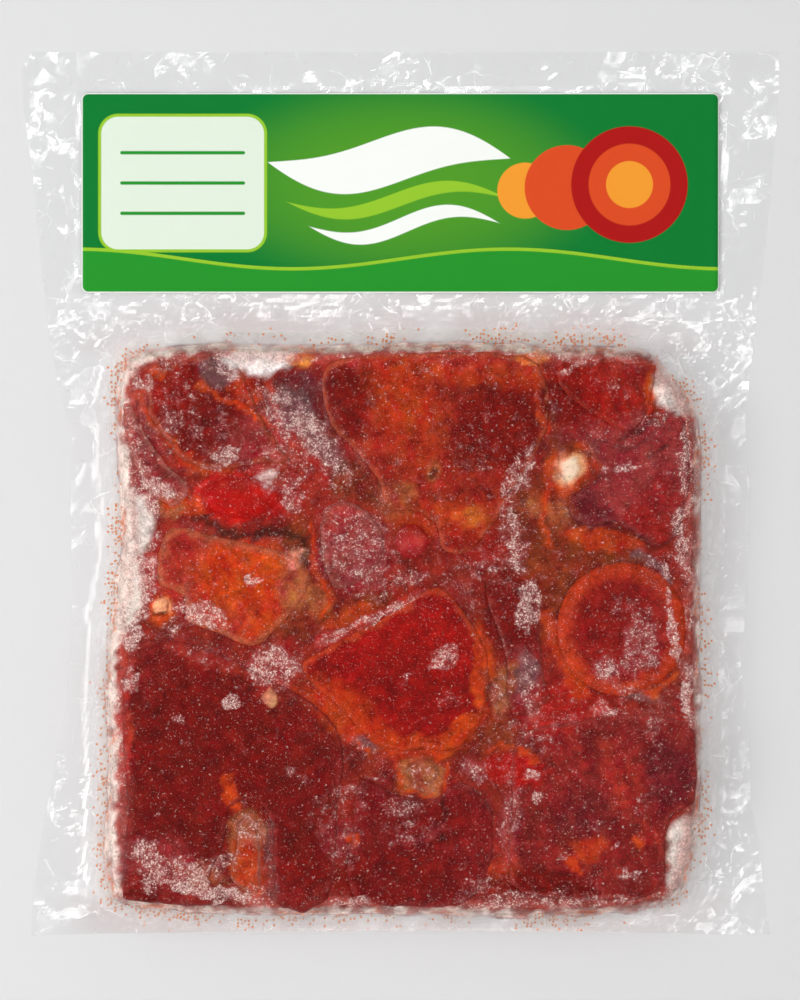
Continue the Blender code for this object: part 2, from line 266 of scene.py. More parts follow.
def rough(x, y, size, seed, z=0.0, octaves=3):
    """Lumps with smaller lumps on them."""
    total, weight, height = 0.0, 0.0, 1.0
    for octave in range(octaves):
        total = total + height * lumps(x, y, size / 2 ** octave, seed + 31 * octave, z)
        weight += height
        height *= 0.55
    return total / weight


def soft_step(value, low=0.0, high=1.0):
    """0 below low, 1 above high, with a smooth way between."""
    share = np.clip((value - low) / (high - low), 0.0, 1.0)
    return share * share * (3.0 - 2.0 * share)


def tone(red, green, blue):
    """A colour given as 0 to 255 turned into the linear values that shaders take."""
    parts = np.array((red, green, blue), float) / 255.0
    return np.where(parts <= 0.04045, parts / 12.92, ((parts + 0.055) / 1.055) ** 2.4)


def lay(tint, cover, colour):
    """A tone laid over a list of tints, as strong as its cover at each point."""
    return tint + cover[:, None] * (tone(*colour) - tint)


print("lumps run from", round(float(lumps(np.arange(99.0), 0.0, 5.0, 1).min()), 2))

# %% [markdown]
# Where frost has grown, where orange pulp shows and where the flesh is dark are all facts of the
# same kind: a soft-edged spot at a place, or a line of some width. The darkest lines and spots paint
# the shade in crevices and hollows, two grey spots paint the shade of a frosty valley, and one pale
# peach spot paints a highlight. They are listed once, in millimetres from the middle of the pouch,
# and painted in the order of the list over whatever piece lies there. So a brown membrane runs on
# from one piece to the next, as it does in a block.

# %% Tones, spots and lines of the slab
TONES = {
    "deep": (110, 9, 4), "red": (148, 20, 8), "rose": (170, 48, 38), "mauve": (142, 46, 50),
    "plum": (98, 22, 32), "orange": (190, 66, 12), "amber": (232, 148, 56), "peach": (236, 168, 128),
    # the darkest tone paints shade: in the crevices between pieces and in small hollows
    "brown": (126, 50, 22), "tan": (166, 92, 54), "grey": (112, 78, 82), "crevice_shade": (50, 18, 12),
    "ice": (236, 226, 224), "scarlet": (182, 18, 12), "cream": (226, 214, 206), "ivory": (250, 226, 200),
}
SPOTS = (
    # tone, x, y, half width, half length, turn in degrees, softness, strength
    ("mauve", -69, 12, 5, 16, 12, 0.5, 0.8), ("rose", -72, 22, 2.5, 10, 5, 0.6, 0.7),
    ("deep", -52, 20, 13, 11, -25, 0.5, 0.8), ("red", -60, 28, 8, 6, 20, 0.6, 0.6),
    ("grey", -48, 32, 4, 4, -30, 0.5, 0.8), ("orange", -64, 32, 2.4, 1.6, 10, 0.3, 0.9),
    ("mauve", -36, 14, 8, 9, -40, 0.5, 0.7), ("rose", -30, 6, 9, 10, -45, 0.6, 0.5),
    ("ice", -36.5, 35.4, 9, 4.2, 4, 0.3, 0.97), ("amber", -26, 36, 3, 2.2, 20, 0.4, 0.8),
    ("orange", -41, 27, 5, 3, -25, 0.5, 0.7), ("plum", -26, 26, 7, 5, -50, 0.4, 0.95),
    # the two grey spots on the next line paint the shade of a frosty valley that runs down to the right
    ("grey", -29, 22, 7, 4.5, -50, 0.5, 0.7), ("grey", -20, 13, 9, 3, -52, 0.5, 0.7),
    ("deep", -15, 24, 7, 10, 0, 0.5, 0.85), ("rose", -14, 36, 14, 3, -3, 0.6, 0.7),
    ("orange", 0, 27, 8, 8, 0, 1.0, 0.60), ("orange", 5, 14, 7, 9, 0, 1.0, 0.35),
    ("brown", -12, 3, 6, 5, -35, 0.6, 0.7), ("tan", -1, -2, 5, 4, 0, 0.6, 0.6),
    ("orange", 10, -7, 14, 4.5, 5, 1.0, 0.5), ("amber", 18, -6, 3.4, 2.2, 0, 1.0, 0.3),
    ("deep", 27, 18, 12, 12, 0, 0.6, 0.85), ("rose", 16, 36, 16, 2.6, -2, 0.6, 0.8),
    ("orange", 22, 31, 15, 2.6, -8, 1.0, 0.5), ("orange", 37.5, 25, 2.6, 9, 12, 0.4, 0.95),
    ("amber", 35, 36, 4.5, 1.8, 5, 0.4, 0.95), ("tan", 8.5, 6, 2.4, 3, 0, 0.35, 0.7),
    ("crevice_shade", 8.5, 6, 1.3, 1.8, 0, 0.5, 0.6), ("red", 20, -13, 12, 5, 0, 0.6, 0.6),
    ("red", 50, 26, 14, 9, -10, 0.5, 0.9), ("deep", 42, 24, 7, 5, -35, 0.5, 0.9),
    ("orange", 66, 27, 1.9, 8, -4, 0.5, 0.9), ("rose", 58, 29, 6, 5, 0, 0.7, 0.4),
    ("mauve", 58, 10, 18, 9, 0, 0.5, 0.85), ("mauve", 71, 12, 4, 11, 0, 0.6, 0.6),
    ("plum", 50, -5, 5.5, 5, -20, 0.4, 0.9), ("mauve", 59, 0, 9, 5, -25, 0.5, 0.7),
    ("red", 64, -8, 7, 4, -35, 0.5, 0.6), ("red", 68, -3, 5, 8, 0, 0.6, 0.5),
    ("brown", 38, -6, 8, 10, 8, 0.5, 0.9), ("brown", 40, -20, 8, 11, -15, 0.5, 0.85),
    ("tan", 36, -4, 3.5, 3, 0, 0.5, 0.7), ("tan", 41, -6, 3, 4, 0, 0.5, 0.6),
    ("brown", 50, -15, 11, 4, -5, 0.4, 0.9), ("orange", 53, -12, 9, 2.2, -8, 0.5, 0.8),
    ("brown", 44.5, 6.5, 7, 7.4, 0, 0.3, 0.95), ("orange", 44, 6, 5.6, 5.6, 0, 0.4, 0.8),
    ("peach", 44.3, 6.5, 4.0, 4.2, 0, 0.4, 0.9), ("ivory", 44.3, 6.4, 2.6, 2.7, 0, 0.5, 0.9),
    ("scarlet", -42, -1, 12, 6.6, -4, 0.2, 1.0), ("rose", -44, 3, 7, 1.8, 12, 0.7, 0.5),
    ("orange", -54, -3, 3, 3, 0, 0.6, 0.7), ("ice", -35, 4.6, 2.4, 1.3, 10, 0.5, 0.5),
    ("tan", -60, -4, 3.4, 2.8, 0, 0.3, 0.9), ("orange", -59.5, -3, 2.4, 1.4, 0, 0.3, 0.9),
    ("rose", -58, -20, 9, 11, -10, 0.5, 0.9), ("orange", -41, -21, 13, 9, -8, 0.5, 0.95),
    ("brown", -26.5, -12, 5, 4.5, -30, 0.5, 0.9), ("tan", -28, -24, 4.5, 6, 15, 0.5, 0.9),
    # the first peach spot on the next line paints a highlight on the pale right end of the left slab
    ("peach", -26.5, -17.5, 3, 2.6, 0, 0.5, 0.9), ("brown", -26, -34, 6, 4.5, 20, 0.5, 0.8),
    ("orange", -36, -34.5, 7, 3.6, 15, 0.5, 0.85), ("tan", -21, -29, 3, 4, 0, 0.5, 0.8),
    ("mauve", -12, -15, 10, 11, 20, 0.4, 0.8), ("rose", -16, -6, 6, 4, 0, 0.6, 0.5),
    ("brown", -12, -30, 9, 3, 22, 0.4, 0.9), ("orange", -13, -31.5, 7, 1.8, 24, 0.6, 0.6),
    ("brown", -63, -30.5, 4.4, 4.4, 0, 0.3, 0.9), ("orange", -62.8, -30.5, 3.9, 3.9, 0, 0.3, 0.9),
    ("peach", -62.6, -29.6, 2.6, 2.2, -20, 0.3, 0.95), ("crevice_shade", -63.6, -32, 1.8, 0.8, -25, 0.4, 0.8),
    ("deep", -52, -70, 20, 26, 0, 0.5, 0.75), ("rose", -73, -60, 2.6, 24, 0, 0.6, 0.8),
    ("deep", -30, -74, 14, 16, 0, 0.6, 0.6), ("rose", -50, -43, 12, 3, -20, 0.6, 0.5),
    ("rose", -34, -47, 7, 6, 0, 0.5, 0.6), ("peach", -34, -54, 2, 1.6, 0, 0.4, 0.8),
    ("orange", -14, -58, 12, 6, -38, 0.6, 0.75), ("grey", -10.5, -66, 3.8, 1.9, -30, 0.4, 0.8),
    ("orange", -44, -79, 2.2, 4.4, 8, 0.5, 0.9), ("tan", -40, -90, 4.6, 7, 0, 0.25, 0.9),
    ("orange", -40, -99, 4.4, 8, 6, 0.4, 0.85), ("tan", -52, -100, 6, 3, -20, 0.5, 0.5),
    ("mauve", -64, -97, 10, 7, 0, 0.5, 0.7), ("deep", -69, -104, 6, 3.4, 0, 0.5, 0.9),
    ("deep", -24, -96, 12, 9, 0, 0.6, 0.8), ("mauve", -15, -91, 5.4, 5.4, 0, 0.5, 0.5),
    ("orange", -12.4, -90.4, 1.6, 1, 0, 0.4, 0.9), ("deep", 0, -101, 16, 7, 0, 0.6, 0.7),
    ("scarlet", 2, -44, 16, 13, 30, 0.6, 0.45), ("deep", 2, -48, 13, 11, 30, 0.6, 0.45),
    ("orange", 22, -47, 3, 15, 3, 0.4, 0.9), ("orange", 14.5, -64, 3.4, 8, -48, 0.45, 0.9),
    ("orange", 2, -66, 8, 3, 8, 0.5, 0.6), ("rose", 11, -43, 3, 2.2, 0, 0.5, 0.6),
    ("tan", 5.5, -74, 6, 4.8, -12, 0.25, 0.95), ("deep", 29, -30, 8, 9, 0, 0.6, 0.85),
    ("tan", 27, -52, 3, 7, -8, 0.4, 0.8), ("grey", 33, -50, 3.2, 10, 12, 0.4, 0.7),
    ("brown", 25, -64, 5, 4, 30, 0.5, 0.8), ("scarlet", 40, -56, 9, 7, 0, 0.6, 0.5),
    ("scarlet", 30, -72.5, 8, 4, -8, 0.5, 0.7), ("mauve", 19, -72.5, 3.4, 3, -40, 0.4, 0.8),
    ("deep", 54, -32, 9, 8, 0, 0.6, 0.5), ("mauve", 63, -40, 4.6, 7.4, -12, 0.3, 0.85),
    ("mauve", 54, -46.5, 4.4, 5, 30, 0.35, 0.85), ("grey", 62, -51.5, 6, 2, -10, 0.5, 0.7),
    ("rose", 52.5, -57, 3.4, 2, -15, 0.5, 0.8), ("brown", 67, -51, 3, 1.6, 20, 0.5, 0.8),
    ("rose", 57, -74, 4.6, 9, 12, 0.5, 0.7), ("plum", 70, -74, 6, 9, 0, 0.5, 0.8),
    ("mauve", 29, -86, 3.6, 8, -4, 0.4, 0.8), ("rose", 28, -96, 3, 5, 0, 0.6, 0.6),
    ("deep", 10, -86, 10, 6, 10, 0.6, 0.6), ("deep", 38, -103, 12, 4, -8, 0.5, 0.9),
    ("deep", 33, -101, 5, 3.4, -30, 0.5, 0.7), ("orange", 45, -97, 2.4, 1.8, -30, 0.4, 0.9),
    ("orange", 50, -93, 4, 3, 0, 0.6, 0.5), ("rose", 65, -89, 3.4, 3, 0, 0.4, 0.8),
    ("orange", 61.5, -91, 1, 2.6, 0, 0.5, 0.7), ("orange", 26, -99, 4, 3, 0, 0.6, 0.4),
    ("plum", 48, -84, 8, 6, 0, 0.6, 0.5), ("cream", -73.5, -8, 8, 9, 0, 0.3, 0.92),
    ("cream", -74.5, -27, 5.4, 13, -8, 0.3, 0.92), ("cream", -75, 36, 6.5, 6, 30, 0.4, 0.85),
    ("cream", 73.5, 30, 7, 8.6, 0, 0.3, 0.92), ("cream", 76.5, -98, 6.5, 13, 0, 0.3, 0.92),
    ("cream", -77, -99, 3.6, 9, 0, 0.4, 0.9),
)
LINES = (
    # tone, half width, strength, height in mm, points
    ("orange", 0.7, 0.9, 0.2, (-53, 29), (-48, 25), (-43, 23), (-38, 20), (-32, 17)),
    ("orange", 1.0, 0.7, 0.1, (-68, 26), (-64, 18), (-59, 10), (-52, 6.5), (-44, 6)),
    ("rose", 0.7, 0.9, 0.3, (-34, 30), (-33, 24), (-31, 18), (-24, 10), (-19, 3)),
    # the darkest lines, here and below, paint the shade in the grooves between pieces, which also sink a
    # little
    ("crevice_shade", 1.0, 0.75, -0.8, (-54, -6), (-46, -9.5), (-38, -11), (-30, -10), (-25.5, -12), (-23.5, -20)),
    ("orange", 0.7, 0.95, 0.3, (-23.5, -8), (-21.8, -16), (-21, -22), (-19, -27), (-21, -32)),
    ("rose", 1.5, 0.9, 0.7, (-21, -39.5), (-15, -37), (-8, -33), (-2, -30), (6, -26.5)),
    ("crevice_shade", 0.8, 0.6, -0.8, (58, 14.3), (61, 14.6), (66, 19.5), (67, 24)),
    ("crevice_shade", 0.7, 0.6, -0.7, (53, -8), (57, -9), (61, -11.5), (66, -14), (70, -13)),
    ("crevice_shade", 0.5, 0.5, -0.4, (40, 19), (37, 30)), ("crevice_shade", 0.4, 0.6, -0.3, (65, 10), (70, 13)),
    ("orange", 0.8, 0.85, 0.2, (40, 13), (38.5, 5), (37, -3), (36.5, -10), (39, -14)),
    ("brown", 1.1, 0.8, -0.3, (41, 20), (40, 12), (46, 13), (51, 8), (52, 4)),
    ("orange", 0.6, 0.7, 0.1, (46, 13.5), (50, 10), (52.5, 5)),
    ("brown", 1.4, 0.85, -0.5, (38.5, -36), (40.5, -28), (45, -21.5), (53, -17), (62, -17.5)),
    ("grey", 1.1, 0.85, 0.2, (62, -16.5), (67, -18.5), (70, -23)),
    ("orange", 1.9, 0.85, 0.4, (38, -33), (42, -40), (45, -46), (46.5, -52)),
    ("orange", 0.9, 0.8, 0.2, (60, -50), (66, -52), (72, -48)),
    ("crevice_shade", 0.8, 0.45, -0.6, (24.5, -50), (22, -60), (17, -66.5), (12, -70)),
    ("orange", 0.5, 0.9, 0.1, (-1, -70), (0.5, -77), (6, -79.5), (11, -78), (13, -72)),
    ("crevice_shade", 0.5, 0.5, -0.3, (11, -76), (12, -84), (11.5, -90)),
    ("orange", 0.5, 0.8, 0.2, (23, -67), (30, -66), (36, -70)),
    ("mauve", 0.9, 0.8, 0.1, (0, -91), (6, -90), (12, -87)),
    ("orange", 0.6, 0.8, 0.2, (-14.5, -63), (-11.5, -67), (-9, -69)),
    ("crevice_shade", 0.5, 0.5, -0.3, (-35, -97), (-35.5, -88), (-39, -83), (-44, -86)),
)
FROST = (
    # x, y, half width, half length, turn, softness, strength
    (-60, 35, 6, 3, 15, 0.8, 0.55), (-68, 29, 3, 2.4, 0, 0.5, 0.85), (-58, 18, 6, 7, 20, 0.9, 0.50),
    (-46, 9, 4.5, 2.2, 50, 0.5, 0.90), (-45, 33, 4, 2.5, -30, 0.5, 0.80), (-37, 35.5, 9, 3, 4, 0.3, 1.0),
    (-70, 10, 4, 15, 12, 0.7, 0.62), (-63, 1, 5, 3, -20, 0.5, 0.95), (-64.5, -2.5, 2, 3, 0, 0.5, 0.9),
    (-29, 20, 9, 5, -50, 0.6, 0.66), (-22, 14, 12, 3.4, -50, 0.6, 0.80), (-36, 26, 4, 2, -50, 0.6, 0.6),
    (-30, 8, 8, 9, -40, 0.9, 0.50), (-17, 6, 6, 5, -45, 0.9, 0.50), (-28, -1, 2.6, 4.6, 10, 0.7, 0.70),
    (-35, 4.6, 2.4, 1.2, 10, 0.5, 0.7), (-11, -15, 10, 11, 20, 0.9, 0.58),
    (-52, -31.5, 7, 3.4, -20, 0.5, 0.8), (-58, -34, 4, 2, 10, 0.6, 0.6),
    (-39, -22.5, 1.8, 1.5, 0, 0.5, 0.8), (-27, -17, 3.4, 2.4, 0, 0.7, 0.5),
    (-66, -22, 2.6, 12, -12, 0.6, 0.70), (-70.5, -27, 4, 12, -10, 0.4, 1.0),
    (-71, -36.5, 3, 5, 0, 0.4, 1.0), (-8, -33, 15, 1.3, 25, 0.6, 0.80), (-2, -24, 9, 2.5, 20, 0.8, 0.55),
    (-34, -46, 6.5, 6, 0, 0.5, 0.85), (-50, -43, 9, 3, -20, 0.8, 0.42),
    (-44.4, -54.5, 1.6, 1.8, 0, 0.5, 0.95), (-58.5, -59.5, 1.4, 1.2, 0, 0.5, 0.7),
    (-71, -49, 2.5, 4, 0, 0.6, 0.7), (-13.5, -79.5, 5, 4.5, 0, 0.8, 0.50),
    (-15, -91, 5.2, 5.2, 0, 0.8, 0.45), (-20, -84, 3, 5, 20, 0.9, 0.4), (-27, -74, 3.6, 2, -35, 0.7, 0.5),
    (-66, -95, 5, 5, 0, 0.6, 0.80), (-58, -99, 8, 4, -10, 0.6, 0.78), (-48, -97, 6, 2.2, 20, 0.6, 0.75),
    (-66, -101, 4, 4, 0, 0.6, 0.75), (-50, -104.6, 13, 2, -12, 0.3, 1.0), (-40, -88, 3.8, 4, 0, 0.5, 0.60),
    (-38, -105, 4, 3, 0, 0.7, 0.55), (-11, -66, 3.6, 1.8, -30, 0.5, 0.65),
    (11, -43, 3.6, 2.6, 10, 0.5, 0.80), (2, -49, 2, 1.6, 0, 0.6, 0.6), (12, -54, 3, 3, 0, 0.8, 0.4),
    (5.5, -74, 5, 3.6, 0, 0.7, 0.40), (0, -84, 5, 6, 30, 0.9, 0.45), (5, -88.5, 8, 2, 18, 0.6, 0.5),
    (31, 4, 3, 9, -22, 0.6, 0.72), (28.5, -8, 3, 7, 0, 0.7, 0.65), (31, -15, 2.6, 6, 0, 0.6, 0.75),
    (33.5, -29, 3.2, 7, -4, 0.5, 0.85), (24, -18, 8, 4, 10, 0.9, 0.5), (20, 10, 8, 6, 0, 1.0, 0.30),
    (33.5, -50, 3, 9, 12, 0.5, 0.62), (26.5, -52, 3, 7, -8, 0.7, 0.45), (31, -62, 4, 3, -30, 0.6, 0.5),
    (62, -31, 6, 3, -35, 0.8, 0.50), (63, -40, 4.4, 7, -12, 0.5, 0.60),
    (54, -46.5, 4.2, 4.6, 30, 0.4, 0.75), (61, -52, 5, 1.8, -10, 0.6, 0.6),
    (52.5, -57, 3.4, 2, -15, 0.5, 0.7), (42, -60, 5, 1.4, 30, 0.7, 0.5), (36, -65, 5, 3, 0, 0.8, 0.5),
    (35.3, -73.4, 1.8, 1.8, 0, 0.5, 0.9), (19.5, -73, 3, 2.6, -40, 0.5, 0.7),
    (34.5, -79, 1.6, 1.2, 0, 0.5, 0.8), (29, -86, 3, 8, -4, 0.6, 0.52),
    (42.5, -95.4, 1.6, 1.2, 0, 0.5, 0.75), (50, -86.5, 2.6, 1.6, 0, 0.7, 0.6),
    (60.5, -99.5, 2.4, 1.2, -30, 0.6, 0.8), (56, -92, 0.9, 1.8, -20, 0.6, 0.7),
    (66, -62, 4, 7, 10, 0.9, 0.42), (63.5, -82, 2, 3, 0, 0.7, 0.5), (58, 7, 6, 1.1, 10, 0.5, 0.75),
    (50.5, 17, 2, 1.2, 0, 0.5, 0.5), (48, 33.5, 8, 1.4, 12, 0.6, 0.70), (57, 28, 4, 3, 0, 1.0, 0.35),
    (66, 19, 5, 2, 20, 0.7, 0.6), (74.5, 8, 1.6, 16, 0, 0.6, 0.75), (73.5, -12, 2, 8, 5, 0.5, 0.80),
    (68, -19.5, 4, 1.6, -40, 0.5, 0.75), (71.5, -36, 1.6, 12, 8, 0.4, 0.85),
    (75.5, -53, 1.4, 8, 6, 0.4, 0.95), (0, 37.8, 34, 1.3, 0, 0.6, 0.60),
    (30, -106.5, 16, 2.2, 3, 0.6, 0.68), (52, -107, 12, 1.6, 3, 0.6, 0.65),
    (-12, -107, 4, 1.6, 0, 0.6, 0.8), (20, -104.5, 5, 3, 0, 0.7, 0.5), (71.5, -100, 2, 9, 0, 0.6, 0.55),
    (9, 33, 8, 3, 0, 1.0, 0.3),
)


# what vivid tones lose of red, green and blue, and how far patches of them shift
RICHER = (0.05, 0.28, 0.36)
WARMER = (0.08, 0.38, 0.10)


def oval(x, y, centre_x, centre_y, half_width, half_length, turn, softness):
    """1 inside a turned oval, 0 outside, with a soft edge."""
    away_x, away_y = x - centre_x, y - centre_y
    along = away_x * cos(radians(turn)) + away_y * sin(radians(turn))
    across = away_y * cos(radians(turn)) - away_x * sin(radians(turn))
    ring = np.hypot(along / half_width, across / half_length)
    return 1.0 - soft_step(ring, 1.0 - 0.5 * softness, 1.0 + 0.7 * softness)


def line(x, y, half_width, points):
    """1 along a run of straight stretches, 0 away from it."""
    nearest = np.full(np.shape(x), 1e9)
    for (ax, ay), (bx, by) in zip(points, points[1:]):
        step_x, step_y = bx - ax, by - ay
        share = np.clip(((x - ax) * step_x + (y - ay) * step_y) / (step_x ** 2 + step_y ** 2), 0, 1)
        nearest = np.minimum(nearest, np.hypot(x - ax - share * step_x, y - ay - share * step_y))
    return 1.0 - soft_step(nearest, 0.4 * half_width, 1.7 * half_width)


def torn(x, y):
    """Places shifted unevenly, which tears the edges of whatever is painted with them."""
    return (x + 0.9 * lumps(x, y, 6, 401) + 0.55 * lumps(x, y, 1.8, 402),
            y + 0.9 * lumps(x, y, 6, 403) + 0.55 * lumps(x, y, 1.8, 404))


def paint_slab(x, y, tint):
    """The spots and lines over a base tint, and how much frost lies at each point."""
    bent_x, bent_y = torn(x, y)
    for name, *place, strength in SPOTS:
        tint = lay(tint, strength * oval(bent_x, bent_y, *place), TONES[name])
    for name, half_width, strength, _, *points in LINES:
        tint = lay(tint, strength * line(bent_x, bent_y, half_width, points), TONES[name])
    broad, narrow = rough(x, y, 9, 411), rough(x, y, 3.2, 412)
    tint = tint * (1.0 + 0.16 * broad + 0.16 * narrow)[:, None]
    vivid = (1.0 - tint.min(1) / tint.max(1)) ** 2
    shift = vivid * (0.6 * lumps(x, y, 5, 413) + 0.5 * lumps(x, y, 2, 414))
    tint = tint * (0.96 - np.outer(vivid, RICHER) + np.outer(shift, WARMER))
    frost = np.zeros_like(x)
    for *place, strength in FROST:
        frost = np.maximum(frost, strength * oval(bent_x, bent_y, *place))
    return tint, frost


def line_relief(x, y):
    """How far the listed lines stand up or sink."""
    bent_x, bent_y = torn(x, y)
    return sum(height * line(bent_x, bent_y, 1.2 * half_width, points)
               for _, half_width, _, height, *points in LINES)


print(len(SPOTS), "spots,", len(LINES), "lines,", len(FROST), "patches of frost")

# %% [markdown]
# Frost on a frozen block is a thin white veil, and curled threads of ice stand out of it. It lies on
# every frozen piece alike, so it is a node group with its own sockets, placed in each material with
# its own values. The group puts out two masks, and each material lays its tones by them.

# %% Frost
def make_frost_group():
    """Frost: a thin veil where the mask says so, and curled threads of ice, most of them in it."""
    tree = bpy.data.node_groups.new("frost", "ShaderNodeTree")
    for name in ("Where", "Crystals"):
        tree.interface.new_socket(name=name, in_out="INPUT", socket_type="NodeSocketFloat")
    for name in ("Veil", "Threads"):
        tree.interface.new_socket(name=name, in_out="OUTPUT", socket_type="NodeSocketFloat")
    inside = tree.nodes.new("NodeGroupInput")
    out = tree.nodes.new("NodeGroupOutput")
    place = tree.nodes.new("ShaderNodeTexCoord").outputs["Object"]
    where = inside.outputs["Where"]
    # the veil is torn by a cloudy noise
    cloud = noise(tree, place, 420.0, 4.0, roughness=0.72)["Fac"]
    lifted = times(tree, minus(tree, cloud, 0.5), 2.6)
    veil = remap(tree, plus(tree, where, lifted), 0.25, 1.25, interpolation_type="SMOOTHSTEP")
    # threads run where one of two noises crosses its middle value, and a third cuts them short
    ice = noise(tree, place, 1750.0, 1.0, distortion=0.8)["Color"]
    first, second, gate = add_node(tree, "ShaderNodeSeparateColor", {0: ice}).outputs
    crossings = [calculate(tree, "ABSOLUTE", minus(tree, value, 0.5)) for value in (first, second)]
    thin = remap(tree, calculate(tree, "MINIMUM", *crossings), 0.034, 0.014)
    eager = plus(tree, gate, times(tree, veil, 0.29))
    threads = times(tree, thin, remap(tree, eager, 0.645, 0.725))
    amount = plus(tree, inside.outputs["Crystals"], times(tree, where, 0.8))
    tree.links.new(veil, out.inputs["Veil"])
    tree.links.new(times(tree, threads, amount, clamp=True), out.inputs["Threads"])
    return tree


THREAD_TONE = tuple(tone(246, 224, 210))
VEIL_TONE = tuple(tone(170, 112, 112))
VEIL_SHARE = 0.60
VEIN_SHADE = (0.45, 0.25, 0.22)
frost_group = make_frost_group()
print("frost group has", len(frost_group.nodes), "nodes")


# %% [markdown]
# The colour of a frozen piece comes from its own tint attribute, broken up by two sizes of noise and
# by dark veins, and the frost lies over it. The bright seed coats also let a little light in, so a
# weak red subsurface softens them. Light that bounces from piece to piece sees the tint alone, which
# saves much time and can't be told apart.

# %% Finishes of the frozen things
FINISHES = {
    # slot: crystals, gloss, depth of the relief, mottling, light let in
    "frozen_flesh": (0.44, 0.42, 1.3, 0.52, 0.0), "orange_rind": (0.6, 0.5, 1.3, 0.44, 0.0),
    "red_aril": (0.30, 0.20, 0.5, 0.22, 0.2), "pale_seed": (0.2, 0.3, 0.4, 0.12, 0.0),
    "frozen_juice": (0.44, 0.38, 1.4, 0.52, 0.0),
}
RELIEF = 0.4


def frozen_finish(name, crystals, gloss, depth, mottle, scatter):
    """Frozen flesh, pulp or juice, which reads its colour and frost from the piece."""
    material, tree, shader = new_material(name)
    place = tree.nodes.new("ShaderNodeTexCoord").outputs["Object"]
    tint = add_node(tree, "ShaderNodeAttribute", attribute_name="tint").outputs["Color"]
    where = add_node(tree, "ShaderNodeAttribute", attribute_name="frost").outputs["Fac"]
    coarse = noise(tree, place, 330.0, 4.0, roughness=0.6, distortion=0.5)["Fac"]
    fibre = noise(tree, place, 1700.0, 4.0, roughness=0.75)["Fac"]
    uneven = plus(tree, times(tree, coarse, 0.45), times(tree, fibre, 0.55))
    light = remap(tree, uneven, 0.36, 0.64, 1.0 - mottle, 1.0 + mottle)
    shade = add_node(tree, "ShaderNodeCombineColor", {0: light, 1: light, 2: light}).outputs["Color"]
    flesh = blend_tones(tree, 1.0, tint, shade, "MULTIPLY")
    veined = noise(tree, place, 800.0, 5.0, roughness=0.8, distortion=0.8)["Fac"]
    dark = blend_tones(tree, 1.0, flesh, VEIN_SHADE, "MULTIPLY")
    flesh = blend_tones(tree, remap(tree, veined, 0.50, 0.68, 0.0, 0.6), flesh, dark)
    frost = tree.nodes.new("ShaderNodeGroup")
    frost.node_tree = frost_group
    frost.inputs["Crystals"].default_value = crystals
    tree.links.new(where, frost.inputs["Where"])
    veil = times(tree, frost.outputs["Veil"], VEIL_SHARE)
    veiled = blend_tones(tree, veil, flesh, VEIL_TONE, "LIGHTEN")
    colour = blend_tones(tree, frost.outputs["Threads"], veiled, THREAD_TONE)
    tree.links.new(colour, shader.inputs["Base Color"])
    tree.links.new(remap(tree, veil, 0.0, 1.0, gloss, 0.75), shader.inputs["Roughness"])
    shader.inputs["Specular IOR Level"].default_value = 0.06
    height = times(tree, uneven, depth)
    bump = add_node(tree, "ShaderNodeBump", {"Height": height, "Strength": RELIEF, "Distance": 0.001})
    tree.links.new(bump.outputs["Normal"], shader.inputs["Normal"])
    shader.inputs["Subsurface Weight"].default_value = scatter
    shader.inputs["Subsurface Radius"].default_value = (1.0, 0.25, 0.15)
    shader.inputs["Subsurface Scale"].default_value = 0.0015
    bounced = tree.nodes.new("ShaderNodeLightPath").outputs["Is Diffuse Ray"]
    plain = add_node(tree, "ShaderNodeBsdfDiffuse", {"Color": tint}).outputs[0]
    chosen = mix_shaders(tree, bounced, shader.outputs[0], plain)
    tree.links.new(chosen, tree.nodes["Material Output"].inputs["Surface"])
    return material


finishes = {slot: frozen_finish(slot, *values) for slot, values in FINISHES.items()}
print(list(finishes), "with", len(finishes["frozen_flesh"].node_tree.nodes), "nodes each")

# %% [markdown]
# A piece of flesh starts as a copy of its plain solid, so it can't leave its place. Voxels turn
# that copy into an even skin half a millimetre fine, which a formula can then push about. The
# point's distance to the piece's own outline makes the orange rind round a slice.

